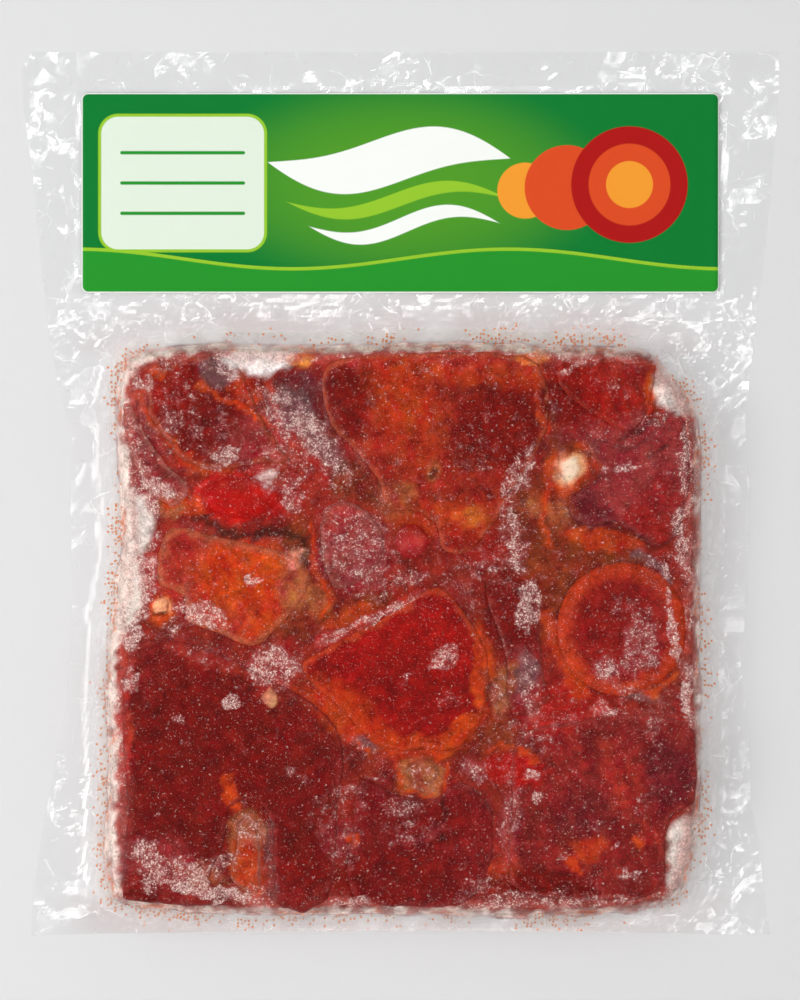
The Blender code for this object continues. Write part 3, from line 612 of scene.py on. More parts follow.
# %% Pieces of flesh
VOXEL = 0.5
SMOOTHINGS = 8
BATCH = 4000
PIECES = {
    # node: slot, core tone, rim tone, rim width, lumps in mm, own frost
    "flesh_clump_top_left": ("frozen_flesh", (134, 38, 32), (156, 64, 42), 1.5, 0.9, 0.26),
    "flesh_clump_left_edge": ("frozen_flesh", (140, 52, 48), (165, 90, 80), 2.0, 0.7, 0.30),
    "flesh_lobe_top_centre": ("frozen_flesh", (144, 38, 24), (170, 70, 44), 1.5, 0.6, 0.14),
    "flesh_wedge_top_right": ("frozen_flesh", (126, 22, 20), (156, 44, 30), 1.2, 0.4, 0.05),
    "flesh_lump_right": ("frozen_flesh", (132, 42, 44), (120, 44, 44), 1.5, 0.6, 0.16),
    "flesh_slab_left": ("frozen_flesh", (178, 62, 36), (176, 86, 56), 2.5, 0.4, 0.12),
    "flesh_lump_centre": ("frozen_flesh", (150, 76, 74), (140, 70, 60), 1.5, 0.5, 0.28),
    "flesh_wedge_centre": ("frozen_flesh", (138, 12, 10), (180, 58, 24), 1.8, 0.35, 0.01),
    "flesh_piece_mid_right": ("frozen_flesh", (122, 26, 28), (130, 44, 36), 1.5, 0.5, 0.16),
    "flesh_bottom_left": ("frozen_flesh", (118, 26, 24), (132, 38, 34), 1.5, 0.45, 0.05),
    "flesh_bottom_middle": ("frozen_flesh", (118, 20, 22), (130, 38, 36), 1.5, 0.5, 0.08),
    "flesh_bottom_right": ("frozen_flesh", (130, 32, 30), (140, 46, 40), 1.5, 0.6, 0.10),
    "flesh_slice_right": ("frozen_flesh", (146, 30, 26), (184, 54, 18), 5.2, 0.4, 0.08),
    "rind_strip": ("orange_rind", (172, 100, 74), (150, 84, 70), 1.5, 0.4, 0.25),
    "pulp_knot": ("orange_rind", (146, 104, 84), (150, 84, 60), 1.2, 0.3, 0.22),
    "aril_left": ("red_aril", (188, 18, 18), (160, 22, 20), 1.5, 0.35, 0.02),
    "aril_centre": ("red_aril", (176, 50, 56), (140, 16, 18), 2.4, 0.2, 0.06),
    "seed_pale": ("pale_seed", (250, 226, 200), (214, 160, 112), 1.0, 0.1, 0.05),
    "seed_left": ("orange_rind", (196, 100, 48), (160, 70, 40), 1.0, 0.15, 0.10),
}


def own_copy(node):
    """The solid's mesh with its loose triangles joined."""
    bm = bmesh.new()
    bm.from_mesh(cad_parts[node].data)
    bmesh.ops.remove_doubles(bm, verts=bm.verts, dist=1e-6)
    return bm


def add_piece(name, bm):
    """A bmesh as an object of the scene."""
    mesh = bpy.data.meshes.new(name)
    bm.to_mesh(mesh)
    bm.free()
    piece = bpy.data.objects.new(name, mesh)
    bpy.context.scene.collection.objects.link(piece)
    return piece


def settle(piece):
    """Apply a piece's modifiers, so that its vertices can be moved."""
    graph = bpy.context.evaluated_depsgraph_get()
    mesh = bpy.data.meshes.new_from_object(piece.evaluated_get(graph))
    piece.modifiers.clear()
    piece.data = mesh


def even_skin(piece, voxel):
    """Rebuild a piece's surface from voxels of one size in millimetres."""
    remesh = piece.modifiers.new("skin", "REMESH")
    remesh.mode = "VOXEL"
    remesh.voxel_size = voxel * MM
    settle(piece)


def read_points(mesh, field="co"):
    """Positions or normals of a mesh as three lists, positions in millimetres."""
    values = np.zeros(len(mesh.vertices) * 3)
    if field == "co":
        mesh.vertices.foreach_get("co", values)
        return values.reshape(-1, 3).T / MM
    mesh.vertex_normals.foreach_get("vector", values)
    return values.reshape(-1, 3).T


def write_points(mesh, x, y, z):
    """Move every vertex to its place in millimetres."""
    mesh.vertices.foreach_set("co", (np.stack((x, y, z), 1) * MM).astype(np.float32).ravel())
    mesh.update()


def write_paint(mesh, tint, frost):
    """Keep a colour and a frost value on every vertex."""
    colours = mesh.attributes.new("tint", "FLOAT_COLOR", "POINT")
    rgba = np.ones((len(mesh.vertices), 4), np.float32)
    rgba[:, :3] = tint
    colours.data.foreach_set("color", rgba.ravel())
    mask = mesh.attributes.new("frost", "FLOAT", "POINT")
    mask.data.foreach_set("value", np.asarray(frost, np.float32))


def distance_in(mesh, x, y):
    """Distance in plan from points to the foot of a piece's upright walls, some points at a time."""
    wall_x, wall_y, wall_z = read_points(mesh)
    upright = np.abs(read_points(mesh, "normal")[2]) < 0.35
    foot = upright & (wall_z < wall_z.min() + 2.2)
    ring_x, ring_y = wall_x[foot], wall_y[foot]
    result = np.empty_like(x)
    for start in range(0, len(x), BATCH):
        part = slice(start, start + BATCH)
        result[part] = np.hypot(x[part, None] - ring_x, y[part, None] - ring_y).min(1)
    return result


def paint(x, y, core, rim, rim_width, from_rim, own_frost, seed):
    """Tint and frost of each point of a piece."""
    edge = 1.0 - soft_step(from_rim + 0.6 * lumps(x, y, 2.5, seed + 5), 0.35 * rim_width, 1.2 * rim_width)
    tint = tone(*core)[None, :] * (1.0 + 0.22 * rough(x, y, 6, seed + 6))[:, None]
    tint, frost = paint_slab(x, y, tint)
    edge = edge * (1.0 - soft_step(tint.min(1), 0.25, 0.55))
    tint = lay(tint, 0.75 * edge, rim)
    frost = np.maximum(frost, own_frost * (1 + rough(x, y, 5, seed + 9)))
    return np.clip(tint, 0, 1), frost


def make_flesh(node, seed):
    """One frozen piece in place of its plain solid."""
    slot, core, rim, rim_width, lump_size, own_frost = PIECES[node]
    piece = add_piece("frozen_" + node, own_copy(node))
    even_skin(piece, VOXEL)
    bm = bmesh.new()
    bm.from_mesh(piece.data)
    for _ in range(SMOOTHINGS):
        bmesh.ops.smooth_vert(bm, verts=bm.verts, factor=0.5,
                              use_axis_x=True, use_axis_y=True, use_axis_z=True)
    bm.to_mesh(piece.data)
    bm.free()
    x, y, z = read_points(piece.data)
    nx, ny, nz = read_points(piece.data, "normal")
    from_rim = distance_in(piece.data, x, y)
    upper = soft_step(nz, -0.2, 0.3)
    swell = lump_size * (0.7 * rough(x, y, 7, seed, z) + 0.25 * lumps(x, y, 2.2, seed + 3, z))
    swell = (swell + 0.07 * lumps(x, y, 0.9, seed + 4, z)) * upper * 0.8
    lift = line_relief(x, y) * upper
    write_points(piece.data, x + nx * swell, y + ny * swell, np.maximum(z + nz * swell + lift, 0.0))
    write_paint(piece.data, *paint(x, y, core, rim, rim_width, from_rim, own_frost, seed))
    piece.data.materials.clear()
    piece.data.materials.append(finishes[slot])
    piece.data.shade_smooth()
    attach(piece, "root")
    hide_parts(node)
    return piece


flesh_pieces = [make_flesh(node, 1000 + 50 * number) for number, node in enumerate(PIECES)]
print(len(flesh_pieces), "pieces of flesh,", sum(len(p.data.polygons) for p in flesh_pieces), "faces")

# %% [markdown]
# The juice that froze round the pieces stands nearly as high as they do, so from above each piece
# seems set in it. How high it stands is found like a stretched skin: the heights of the pieces are
# held, and between them every point moves to the mean of its neighbours until nothing changes.

# %% Heights on a grid
def height_under(x, y, pieces):
    """The top of the given pieces under each point, or 0."""
    height = np.zeros_like(x)
    down = Vector((0, 0, -1))
    for piece in pieces:
        bm = bmesh.new()
        bm.from_mesh(piece.data)
        tree = BVHTree.FromBMesh(bm)
        bm.free()
        low, high = (edge(read_points(piece.data)[:2], 1) for edge in (np.min, np.max))
        near = np.argwhere((x > low[0]) & (x < high[0]) & (y > low[1]) & (y < high[1]))
        for row, column in near:
            hit = tree.ray_cast(Vector((x[row, column] * MM, y[row, column] * MM, 0.05)), down)[0]
            if hit is not None:
                height[row, column] = max(height[row, column], hit.z / MM)
    return height


STRAIGHT = ((-1, 0), (1, 0), (0, -1), (0, 1))
SLANTED = ((-1, -1), (1, -1), (-1, 1), (1, 1))


def shifted(grid, steps):
    """The grid moved by each of the steps, with its border repeated."""
    wide = np.pad(grid, 1, mode="edge")
    rows, columns = grid.shape
    return [wide[1 + down:1 + down + rows, 1 + right:1 + right + columns] for down, right in steps]


def neighbours_mean(z):
    """The mean of the four neighbours of every point."""
    return sum(shifted(z, STRAIGHT)) / 4


def read_grid(grid, low_x, low_y, step, x, y):
    """The value of a grid between its points."""
    column = np.clip((x - low_x) / step, 0, grid.shape[1] - 1.001)
    row = np.clip((y - low_y) / step, 0, grid.shape[0] - 1.001)
    left, lower = column.astype(int), row.astype(int)
    across, up = column - left, row - lower
    return ((1 - up) * ((1 - across) * grid[lower, left] + across * grid[lower, left + 1])
            + up * ((1 - across) * grid[lower + 1, left] + across * grid[lower + 1, left + 1]))


GRID_STEP = 0.8
GRID_LOW, GRID_HIGH = (-82.0, -115.0), (83, 44)
PIECE_HEIGHT, SKIN_HEIGHT = 9.0, 11.6
SKIN_STEPS = 260
grid_x, grid_y = np.meshgrid(*(np.arange(low, high, GRID_STEP) for low, high in zip(GRID_LOW, GRID_HIGH)))
piece_top = height_under(grid_x, grid_y, flesh_pieces)
has_piece = piece_top > PIECE_HEIGHT
core_share = has_piece.astype(float)
for _ in range(3):
    core_share = neighbours_mean(core_share)
skin = np.where(has_piece, piece_top, SKIN_HEIGHT)
for _ in range(SKIN_STEPS):
    skin = np.where(core_share > 0.92, piece_top, neighbours_mean(skin))
print("pieces cover", round(float(has_piece.mean()), 2), "of the slab's grid")

# %% [markdown]
# The slab is a copy of its plain solid too, lifted to just below that skin. Towards its edge it falls
# away in a rough ledge of ice, which is widest on the left, and a thin line of orange juice runs
# along the ledge. The upright sides show the flesh inside.

# %% Frozen juice
BED_VOXEL = 0.8
BELOW_SKIN = 0.45
RIM_SLOPE = 3.5
EDGE_DROP = 3.0
BED_TONE, SIDE_TONE = (134, 34, 24), (140, 36, 28)
PALE_TONE, ICY_TONE, JUICE_TONE = (176, 84, 74), (228, 206, 196), (216, 100, 30)
LEDGE_LEFT, LEDGE_MIDDLE, LEDGE_RIGHT = 1.0, 0.3, -0.1
LEDGE_X = 60


def make_bed():
    """The frozen juice round the pieces, shaped and painted."""
    piece = add_piece("frozen_slab", own_copy("frozen_bed"))
    even_skin(piece, BED_VOXEL)
    x, y, z = read_points(piece.data)
    nx, ny, nz = read_points(piece.data, "normal")
    from_rim = distance_in(piece.data, x, y)
    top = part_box("frozen_bed")[1].z / MM
    upper = soft_step(z, top - 2.5, top - 0.2)
    reach = read_grid(skin, *GRID_LOW, GRID_STEP, x, y) - BELOW_SKIN
    hidden = soft_step(read_grid(core_share, *GRID_LOW, GRID_STEP, x, y), 0.6, 1.0)
    edge_drop = EDGE_DROP * (1.0 - soft_step(from_rim, -0.6, RIM_SLOPE)) ** 1.5
    rise = (reach - top) * soft_step(from_rim, 0.0, RIM_SLOPE) ** 0.6 - 1.6 * hidden
    bumps = 0.35 * rough(x, y, 5, 77) + 0.12 * lumps(x, y, 1.6, 76) + line_relief(x, y)
    side = 0.5 * rough(x, y, 5, 78, z) * (1.0 - upper) * soft_step(z, 0.8, 2.0)
    lifted = z + upper * (np.maximum(rise, -0.5) + 0.6 * bumps - edge_drop)
    write_points(piece.data, x + nx * side, y + ny * side, np.maximum(lifted, 0.0))
    tint = tone(*BED_TONE)[None, :] * (1.0 + 0.30 * rough(x, y, 4, 79, z))[:, None]
    tint, frost = paint_slab(x, y, tint)
    ragged = from_rim + 0.9 * rough(x, y, 5, 80) + 0.4 * lumps(x, y, 1.6, 85)
    shoulder = soft_step(z, top - 3.0, top - 0.8)
    pale = shoulder * (1.0 - soft_step(ragged, 3.4, 6.0))
    tint = lay(tint, 0.45 * pale, PALE_TONE)
    ledge = np.where(x < -LEDGE_X, LEDGE_LEFT, np.where(x > LEDGE_X, LEDGE_RIGHT, LEDGE_MIDDLE))
    broken = 0.25 + 0.75 * soft_step(rough(x, y, 3.4, 87) + 0.5 * ledge, -0.2, 0.5)
    icy = shoulder * broken * (1.0 - soft_step(ragged - 1.3 * ledge, 1.0, 2.6))
    tint = lay(tint, icy, ICY_TONE)
    juice_line = np.exp(-((ragged - 0.9) / 0.35) ** 2) * soft_step(lumps(x, y, 8, 86), -0.1, 0.5)
    tint = lay(tint, 0.85 * juice_line, JUICE_TONE)
    low_side = soft_step(top - 1.5 - z, 0.0, 2.0)[:, None]
    flesh_side = tone(*SIDE_TONE)[None, :] * (1.0 + 0.4 * rough(x, y, 6, 81, z))[:, None]
    tint = tint + low_side * 0.7 * (flesh_side - tint)
    frost = np.maximum(frost * (0.3 + 0.7 * shoulder), 0.16 + 0.2 * rough(x, y, 4, 83, z))
    frost = np.maximum(frost, 0.75 * pale * soft_step(rough(x, y, 6, 84), -0.7, 0.5))
    write_paint(piece.data, np.clip(tint, 0, 1), frost)
    piece.data.materials.clear()
    piece.data.materials.append(finishes["frozen_juice"])
    piece.data.shade_smooth()
    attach(piece, "root")
    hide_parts("frozen_bed")
    return piece


bed_piece = make_bed()
print("slab has", len(bed_piece.data.polygons), "faces")

# %% [markdown]
# The film follows the same outline as its plain solid. Its drape is worked out the way it came
# about: a stretched sheet is let down over the slab, and at each step every point moves to the
# mean of its neighbours and a little down, but never into what lies under it.

# %% Outline of the pouch
POUCH_LENGTH, POUCH_WIDTH = 233.2, 200.0
BOTTOM_BOW = 1.2
LEFT_EDGE = (
    (-116.6, -97.2), (-104.0, -96.6), (-86.3, -93.9), (-68.6, -90.7), (-56.4, -88.1), (-28.1, -86.5),
    (-1.7, -87.1), (14.1, -86.5), (24.7, -89.4), (41.9, -92.6), (59.0, -94.7), (80.2, -96.6),
    (102.6, -99.5), (112.4, -100.0), (116.6, -97.2),
)
RIGHT_EDGE = (
    (-116.6, 97.6), (-104.0, 95.8), (-89.7, 94.2), (-82.8, 92.6), (-59.8, 91.8), (-45.8, 89.7),
    (-28.1, 91.5), (0.0, 92.3), (17.6, 91.0), (31.8, 92.3), (47.7, 94.2), (68.8, 96.8),
    (86.3, 98.4), (107.4, 100.0), (116.6, 100.0),
)


def pouch_grid(cell):
    """Places of an even grid on the pouch's outline, as rows of x and rows of y."""
    rows, columns = round(POUCH_LENGTH / cell) + 1, round(POUCH_WIDTH / cell) + 1
    v, u = np.meshgrid(np.linspace(0, 1, rows), np.linspace(0, 1, columns), indexing="ij")
    y = POUCH_LENGTH * (v - 0.5)
    left = np.interp(y, *np.array(LEFT_EDGE).T)
    right = np.interp(y, *np.array(RIGHT_EDGE).T)
    x = left + (right - left) * u
    return x, y + BOTTOM_BOW * (1.0 - (x / 100.0) ** 2) * (1.0 - v) ** 4


CELL = 1.0
film_x, film_y = pouch_grid(CELL)
under = height_under(film_x, film_y, flesh_pieces + [bed_piece])


def distance_grid(inside, reach):
    """Distance in mm from every point of the film's grid to the nearest marked one, up to a reach."""
    distance = np.where(inside, 0.0, 99.0)
    for _ in range(reach):
        straight = np.minimum.reduce(shifted(distance, STRAIGHT)) + 1.0
        slanted = np.minimum.reduce(shifted(distance, SLANTED)) + 2 ** 0.5
        distance = np.minimum(distance, np.minimum(straight, slanted))
    return distance * CELL


SLAB_HEIGHT = 3.0
from_slab = distance_grid(under > SLAB_HEIGHT, 24)
print("film grid", film_x.shape, "highest point under it", round(float(under.max()), 1), "mm")

# %% [markdown]
# Crumpled film is made of flat facets that meet in sharp ridges, never of soft waves. A lattice of
# triangles with an uneven height at each corner has just that form. Facets of 15, 6.5 and 3 mm are
# added, those of 6.5 mm in two directions. In the neck between block and label the film is pulled
# sideways, so long ripples run along the block's top edge there.

# %% Creases
LATTICE = 97
HALF_SLANT = 0.3660254


def facets(x, y, size, seed, stretch=1.0, turn=0.0, bend=0.35):
    """Flat triangles of about one size in millimetres, with corners from -1 to 1 high."""
    heights = np.random.default_rng(seed).uniform(-1, 1, (LATTICE, LATTICE))
    x, y = (x + bend * size * lumps(x, y, 1.6 * size, seed + 1),
            y + bend * size * lumps(x, y, 1.6 * size, seed + 2))
    along = (x * cos(radians(turn)) + y * sin(radians(turn))) / (size * stretch)
    across = (y * cos(radians(turn)) - x * sin(radians(turn))) / size
    skew = (along + across) * HALF_SLANT
    first, second = along + skew, across + skew
    i, j = np.floor(first).astype(int), np.floor(second).astype(int)
    u, v = first - i, second - j
    i, j, next_i, next_j = i % LATTICE, j % LATTICE, (i + 1) % LATTICE, (j + 1) % LATTICE
    base, far, right, upper = heights[i, j], heights[next_i, next_j], heights[next_i, j], heights[i, next_j]
    below = base + u * (right - base) + v * (far - right)
    above = base + v * (upper - base) + u * (far - upper)
    return np.where(u > v, below, above)


LABEL_LOW, LABEL_HIGH = (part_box("label")[corner] / MM for corner in (0, 1))


def from_label(x, y):
    """Distance from points to the label, 0 under it."""
    return np.hypot(np.maximum(np.maximum(LABEL_LOW.x - x, x - LABEL_HIGH.x), 0),
                    np.maximum(np.maximum(LABEL_LOW.y - y, y - LABEL_HIGH.y), 0))


def calm_side(y):
    """1 along the middle of both sides, where the film lies nearly smooth."""
    return soft_step(y, -80.0, -62.0) * (1.0 - soft_step(y, 14.0, 34.0))


def margin_creases(x, y):
    """Height of the crumpling: none under the label, little on the slab, most in the margins."""
    free = soft_step(from_label(x, y), 0.0, 3.0) * soft_step(from_slab, 0.0, 2.5) * (1.0 - 0.5 * calm_side(y))
    calm = 0.12 + 0.88 * soft_step(lumps(x, y, 20, 20), -0.3, 0.6)
    neck = np.exp(-((y - 46.0) / 5.5) ** 2)
    beside = soft_step(from_slab, 0.5, 4.0) * (1.0 - soft_step(y, 34.0, 44.0))
    big = 1.1 * facets(x, y, 15, 21) * (1.0 - 0.6 * neck)
    folds = 0.7 * facets(x, y, 6.5, 22, 2.6, 20) * beside * (0.3 + 0.7 * calm)
    middle = 0.42 * facets(x, y, 6.5, 23, 1.5, 60) * calm
    small = 0.17 * facets(x, y, 2.9, 24, 1.6, 25) * calm * soft_step(lumps(x, y, 9, 25), -0.6, 0.5)
    ripples = 0.45 * neck * facets(x, y, 3.6, 26, 5.0, -3, 0.6) * soft_step(from_slab, 0.0, 2.5)
    return free * (big + folds + middle + small) + ripples


def seam_height(y):
    """How high the two sealed sheets float over the table."""
    beside = soft_step(from_slab, 0.0, 6.0)
    header = soft_step(y, 44.0, 52.0)
    return 0.15 + beside * (1.0 - header) * 1.4


crumple = margin_creases(film_x, film_y)
print("creases reach", round(float(crumple.max()), 1), "mm")

# %% [markdown]
# The back sheet lies on the table and is crumpled beside the slab only. The front sheet starts on
# whatever is highest under each point, and the steps of the relaxation stretch it from the slab's
# edge down to the seam. It is crumpled last, and never reaches through the back sheet.

# %% Let the film down
STEPS = 220
PULL = 0.07
FILM_GAP, SEAM_GAP = 0.12, 0.3
CRUMPLE_SHARE = 0.5
LOWEST_BACK, THINNEST_SEAM = 0.03, 0.2
back_z = np.maximum(seam_height(film_y) * (under < 0.1) + CRUMPLE_SHARE * crumple, LOWEST_BACK)


def drape(floor_z, rim_z):
    """Relax a sheet over what lies under it, with its rim held on the seam."""
    z = floor_z.copy()
    rim = np.zeros(z.shape, bool)
    rim[0], rim[-1], rim[:, 0], rim[:, -1] = True, True, True, True
    for _ in range(STEPS):
        z = np.maximum(neighbours_mean(z) - PULL, floor_z)
        z[rim] = rim_z[rim]
    return z


around = np.maximum.reduce((*shifted(under, STRAIGHT), under))
floor_z = np.maximum(around + FILM_GAP, back_z + SEAM_GAP)
front_z = drape(floor_z, back_z + SEAM_GAP)
for _ in range(3):
    front_z = np.maximum(neighbours_mean(front_z), floor_z - 0.05)
front_z = np.maximum(front_z + CRUMPLE_SHARE * crumple, back_z + THINNEST_SEAM)
print("film stands", round(float(front_z.max()), 1), "mm high")

# %% [markdown]
# Film shows by its mirror shine and a faint milkiness where it is creased. A transparent shader
# carries the view through, a glossy one gives the glints by the Fresnel law, and a little white
# diffuse makes the milkiness; along some crease lines the same white diffuse also paints thin glints.
# Each sheet is a single surface that mirrors on its outer side only: seen from behind, the Fresnel
# node takes the view to be inside the film and gives a full mirror.

# %% Film finish
FACET_CELLS = ((110.0, 0.24), (380.0, 0.26))  # cells to the metre, and how far they lean
FACET_BEND, SOFT_LEAN = 0.011, 0.10
SPECK_CELLS = 1050.0
SHINE_GAIN, SHINE_ROUGHNESS = 1.8, 0.10
MILK_TONE, JUICY_TONE, SPECK_TONE = (0.95, 0.95, 0.955), (0.80, 0.56, 0.42), tuple(tone(222, 118, 34))
CLEAR_TONE, BLUSH_SHADE_TONE, PLAIN_TONE = (0.996, 0.997, 0.998), (0.90, 0.84, 0.83), (0.99, 0.99, 0.99, 1.0)
FLAT_NOISE = {"noise_dimensions": "2D"}
MIDDLE = (0.5, 0.5, 0.5)


def cells(tree, place, scale, **settings):
    """The outputs of a flat Voronoi pattern."""
    values = {"Vector": place, "Scale": scale}
    return add_node(tree, "ShaderNodeTexVoronoi", values, voronoi_dimensions="2D", **settings).outputs


def film_finish(name, shine_share):
    """Clear film: each cell of two Voronoi patterns leans its own way, like a facet of a crease."""
    material, tree, shader = new_material(name)
    tree.nodes.remove(shader)
    place = tree.nodes.new("ShaderNodeTexCoord").outputs["Object"]
    haze, loose, juice, blush_and_shade = (add_node(tree, "ShaderNodeAttribute", attribute_name=layer).outputs["Fac"]
                                 for layer in ("haze", "loose", "juice", "blush_and_shade"))
    geometry = tree.nodes.new("ShaderNodeNewGeometry").outputs

    def vectors(operation, first, second):
        return add_node(tree, "ShaderNodeVectorMath", {0: first, 1: second}, operation=operation).outputs[0]

    centred = vectors("SUBTRACT", noise(tree, place, 80.0, 2.0, **FLAT_NOISE)["Color"], MIDDLE)
    bent = vectors("ADD", place, vectors("MULTIPLY", centred, (FACET_BEND, FACET_BEND, 0.0)))
    lean = vectors("MULTIPLY", centred, (SOFT_LEAN, SOFT_LEAN, 0.0))
    for scale, amount in FACET_CELLS:
        turned = vectors("SUBTRACT", cells(tree, bent, scale)["Color"], MIDDLE)
        lean = vectors("ADD", lean, vectors("MULTIPLY", turned, (amount, amount, 0.0)))
    creased = remap(tree, noise(tree, place, 55.0, 2.0, **FLAT_NOISE)["Fac"], 0.46, 0.68, 0.06)
    values = {0: lean, "Scale": times(tree, creased, loose)}
    scaled = add_node(tree, "ShaderNodeVectorMath", values, operation="SCALE").outputs[0]
    normal = vectors("NORMALIZE", vectors("ADD", geometry["Normal"], scaled), (0, 0, 0))
    # the edges of the larger cells show as thin white lines here and there: milkiness of sharp creases, and
    # painted glints
    edge = cells(tree, bent, FACET_CELLS[0][0], feature="DISTANCE_TO_EDGE")["Distance"]
    gate = noise(tree, place, 210.0, 1.0, **FLAT_NOISE)["Fac"]
    drawn = times(tree, remap(tree, edge, 0.030, 0.0), remap(tree, gate, 0.50, 0.64))
    crease_milk_and_glint = times(tree, drawn, times(tree, loose, remap(tree, creased, 0.1, 0.6, 0.25, 1.0)))
    # specks of juice that dried on the film beside the slab
    dots = cells(tree, place, SPECK_CELLS)
    draw = add_node(tree, "ShaderNodeSeparateColor", {0: dots["Color"]}).outputs[0]
    chosen = remap(tree, minus(tree, times(tree, juice, juice), draw), 0.0, 0.04)
    speck = times(tree, remap(tree, dots["Distance"], 0.42, 0.22), chosen)
    tint = blend_tones(tree, times(tree, juice, 0.50), MILK_TONE, JUICY_TONE)
    tint = blend_tones(tree, speck, tint, SPECK_TONE)
    milky = plus(tree, haze, times(tree, crease_milk_and_glint, 0.8))
    cloudy = calculate(tree, "MAXIMUM", milky, times(tree, speck, 0.85), clamp=True)
    # the blush tints what is seen through the film pink with juice and darkens it, painted shade of the slab
    # past its ends
    through = blend_tones(tree, blush_and_shade, CLEAR_TONE, BLUSH_SHADE_TONE)
    clear = add_node(tree, "ShaderNodeBsdfTransparent", {"Color": through}).outputs[0]
    upward = add_node(tree, "ShaderNodeCombineXYZ", {"Z": 1.0}).outputs[0]
    white = add_node(tree, "ShaderNodeBsdfDiffuse", {"Color": tint, "Normal": upward}).outputs[0]
    values = {"Roughness": SHINE_ROUGHNESS, "Normal": normal}
    shine = add_node(tree, "ShaderNodeBsdfAnisotropic", values).outputs[0]
    # creased and hazy film mirrors less than smooth film
    fresnel = add_node(tree, "ShaderNodeFresnel", {"IOR": 1.5, "Normal": normal}).outputs["Fac"]
    smooth = times(tree, loose, minus(tree, 1.0, haze, clamp=True))
    outer = times(tree, minus(tree, 1.0, geometry["Backfacing"]), SHINE_GAIN * shine_share)
    mirror = times(tree, times(tree, fresnel, smooth), outer, clamp=True)
    glossy = mix_shaders(tree, mirror, mix_shaders(tree, cloudy, clear, white), shine)
    # only what the camera sees needs all this: light and reflections pass the film unchanged
    plain = add_node(tree, "ShaderNodeBsdfTransparent", {"Color": PLAIN_TONE}).outputs[0]
    seen = tree.nodes.new("ShaderNodeLightPath").outputs["Is Camera Ray"]
    film = mix_shaders(tree, seen, plain, glossy)
    tree.links.new(film, tree.nodes["Material Output"].inputs["Surface"])
    return material


front_finish = film_finish("clear_film_front", shine_share=1.0)
back_finish = film_finish("clear_film_back", shine_share=0.4)


def contact_finish():
    """The film where it lies tight on the slab: clear, with a trace of shine."""
    material, tree, shader = new_material("clear_film_contact")
    tree.nodes.remove(shader)
    clear = add_node(tree, "ShaderNodeBsdfTransparent", {"Color": PLAIN_TONE}).outputs[0]
    shine = add_node(tree, "ShaderNodeBsdfAnisotropic", {"Roughness": 0.12}).outputs[0]
    tree.links.new(mix_shaders(tree, 0.006, clear, shine), tree.nodes["Material Output"].inputs["Surface"])
    return material


tight_finish = contact_finish()
print(len(front_finish.node_tree.nodes), "nodes in the finish of the film")

# %% [markdown]
# Where each of these effects lies is kept on the points of the two sheets: haze and specks of juice
# in a fringe round the slab, a pink blush past its two ends that is juice and painted shade, and how
# loose the film is. Where the film lies tight on the slab it needs none of them, so those faces take
# the plain finish.

# %% Both sheets of film
TIGHT = 0.02


def film_piece(name, z, layers, finish, node):
    """A sheet over the pouch's grid, with its layers kept on its points."""
    rows, columns = z.shape
    bm = bmesh.new()
    bmesh.ops.create_grid(bm, x_segments=columns - 1, y_segments=rows - 1, size=1.0)
    handles = {layer: bm.verts.layers.float.new(layer) for layer in layers}
    for vert in bm.verts:
        column = round((vert.co.x + 1) / 2 * (columns - 1))
        row = round((vert.co.y + 1) / 2 * (rows - 1))
        vert.co = Vector((film_x[row, column], film_y[row, column], z[row, column])) * MM
        for layer, handle in handles.items():
            vert[handle] = layers[layer][row, column]
    for face in bm.faces:
        face.material_index = int(max(vert[handles["loose"]] for vert in face.verts) < TIGHT)
    piece = add_piece(name, bm)
    piece.data.materials.append(finish)
    piece.data.materials.append(tight_finish)
    piece.data.shade_flat()
    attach(piece, "root")
    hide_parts(node)
    return piece


def sharpness(z):
    """How sharply a sheet is bent at each point."""
    return np.abs(neighbours_mean(z) - z)


# the haze starts on the slab's rounded rim, 2 mm inside its edge
from_core = distance_grid(distance_grid(under <= SLAB_HEIGHT, 3) > 1.6, 26)
on_slab = 1.0 - soft_step(from_core, 0.0, 2.0)
beside_slab = soft_step(from_core, 0.0, 2.0)
fringe = np.exp(-(from_core / 4.8) ** 2)
streaks = soft_step(facets(film_x, film_y, 2.4, 92, 1.5, 40) + rough(film_x, film_y, 5, 91), -0.7, 0.9)
milkiness = 0.05 + 0.15 * soft_step(sharpness(front_z), 0.05, 0.30) + fringe * (0.42 + 0.40 * streaks)
patchy = soft_step(rough(film_x, film_y, 14, 93), -0.5, 0.5)
ends = np.maximum(soft_step(film_y, 35.0, 39.0), soft_step(-film_y, 104.0, 108.0))
film_layers = {
    "haze": milkiness * beside_slab,
    "loose": (1.0 - on_slab) * (1.0 - 0.45 * calm_side(film_y)),
    "juice": np.exp(-(from_core / 5.5) ** 2) * (1 - 0.6 * on_slab) * (0.25 + 0.75 * patchy),
    # the blush past both ends of the slab is juice tint and painted shade
    "blush_and_shade": np.exp(-(from_slab / 11) ** 2) * ends * (1 - on_slab) * (0.6 + 0.4 * patchy),
}
back_layers = dict(film_layers)
back_layers["haze"] = (0.02 + 0.70 * np.exp(-(from_slab / 3.4) ** 2)) * soft_step(from_slab, 0.0, 0.9)
film_front = film_piece("film_front_sheet", front_z, film_layers, front_finish, "film_front")
film_back = film_piece("film_back_sheet", back_z, back_layers, back_finish, "film_back")
print("faces of the sheets:", [len(sheet.data.polygons) for sheet in (film_front, film_back)])

# %% [markdown]
# The label is a coated paper sticker with round corners and a thin white edge where it is cut.
# Its print is plain shapes only. Each shape is a distance: the distance to a disc or to a rounded
# box is one line of arithmetic, and the sign of it says inside or outside, so the edges of the
# print stay crisp at any size. Two node groups give the two shapes.

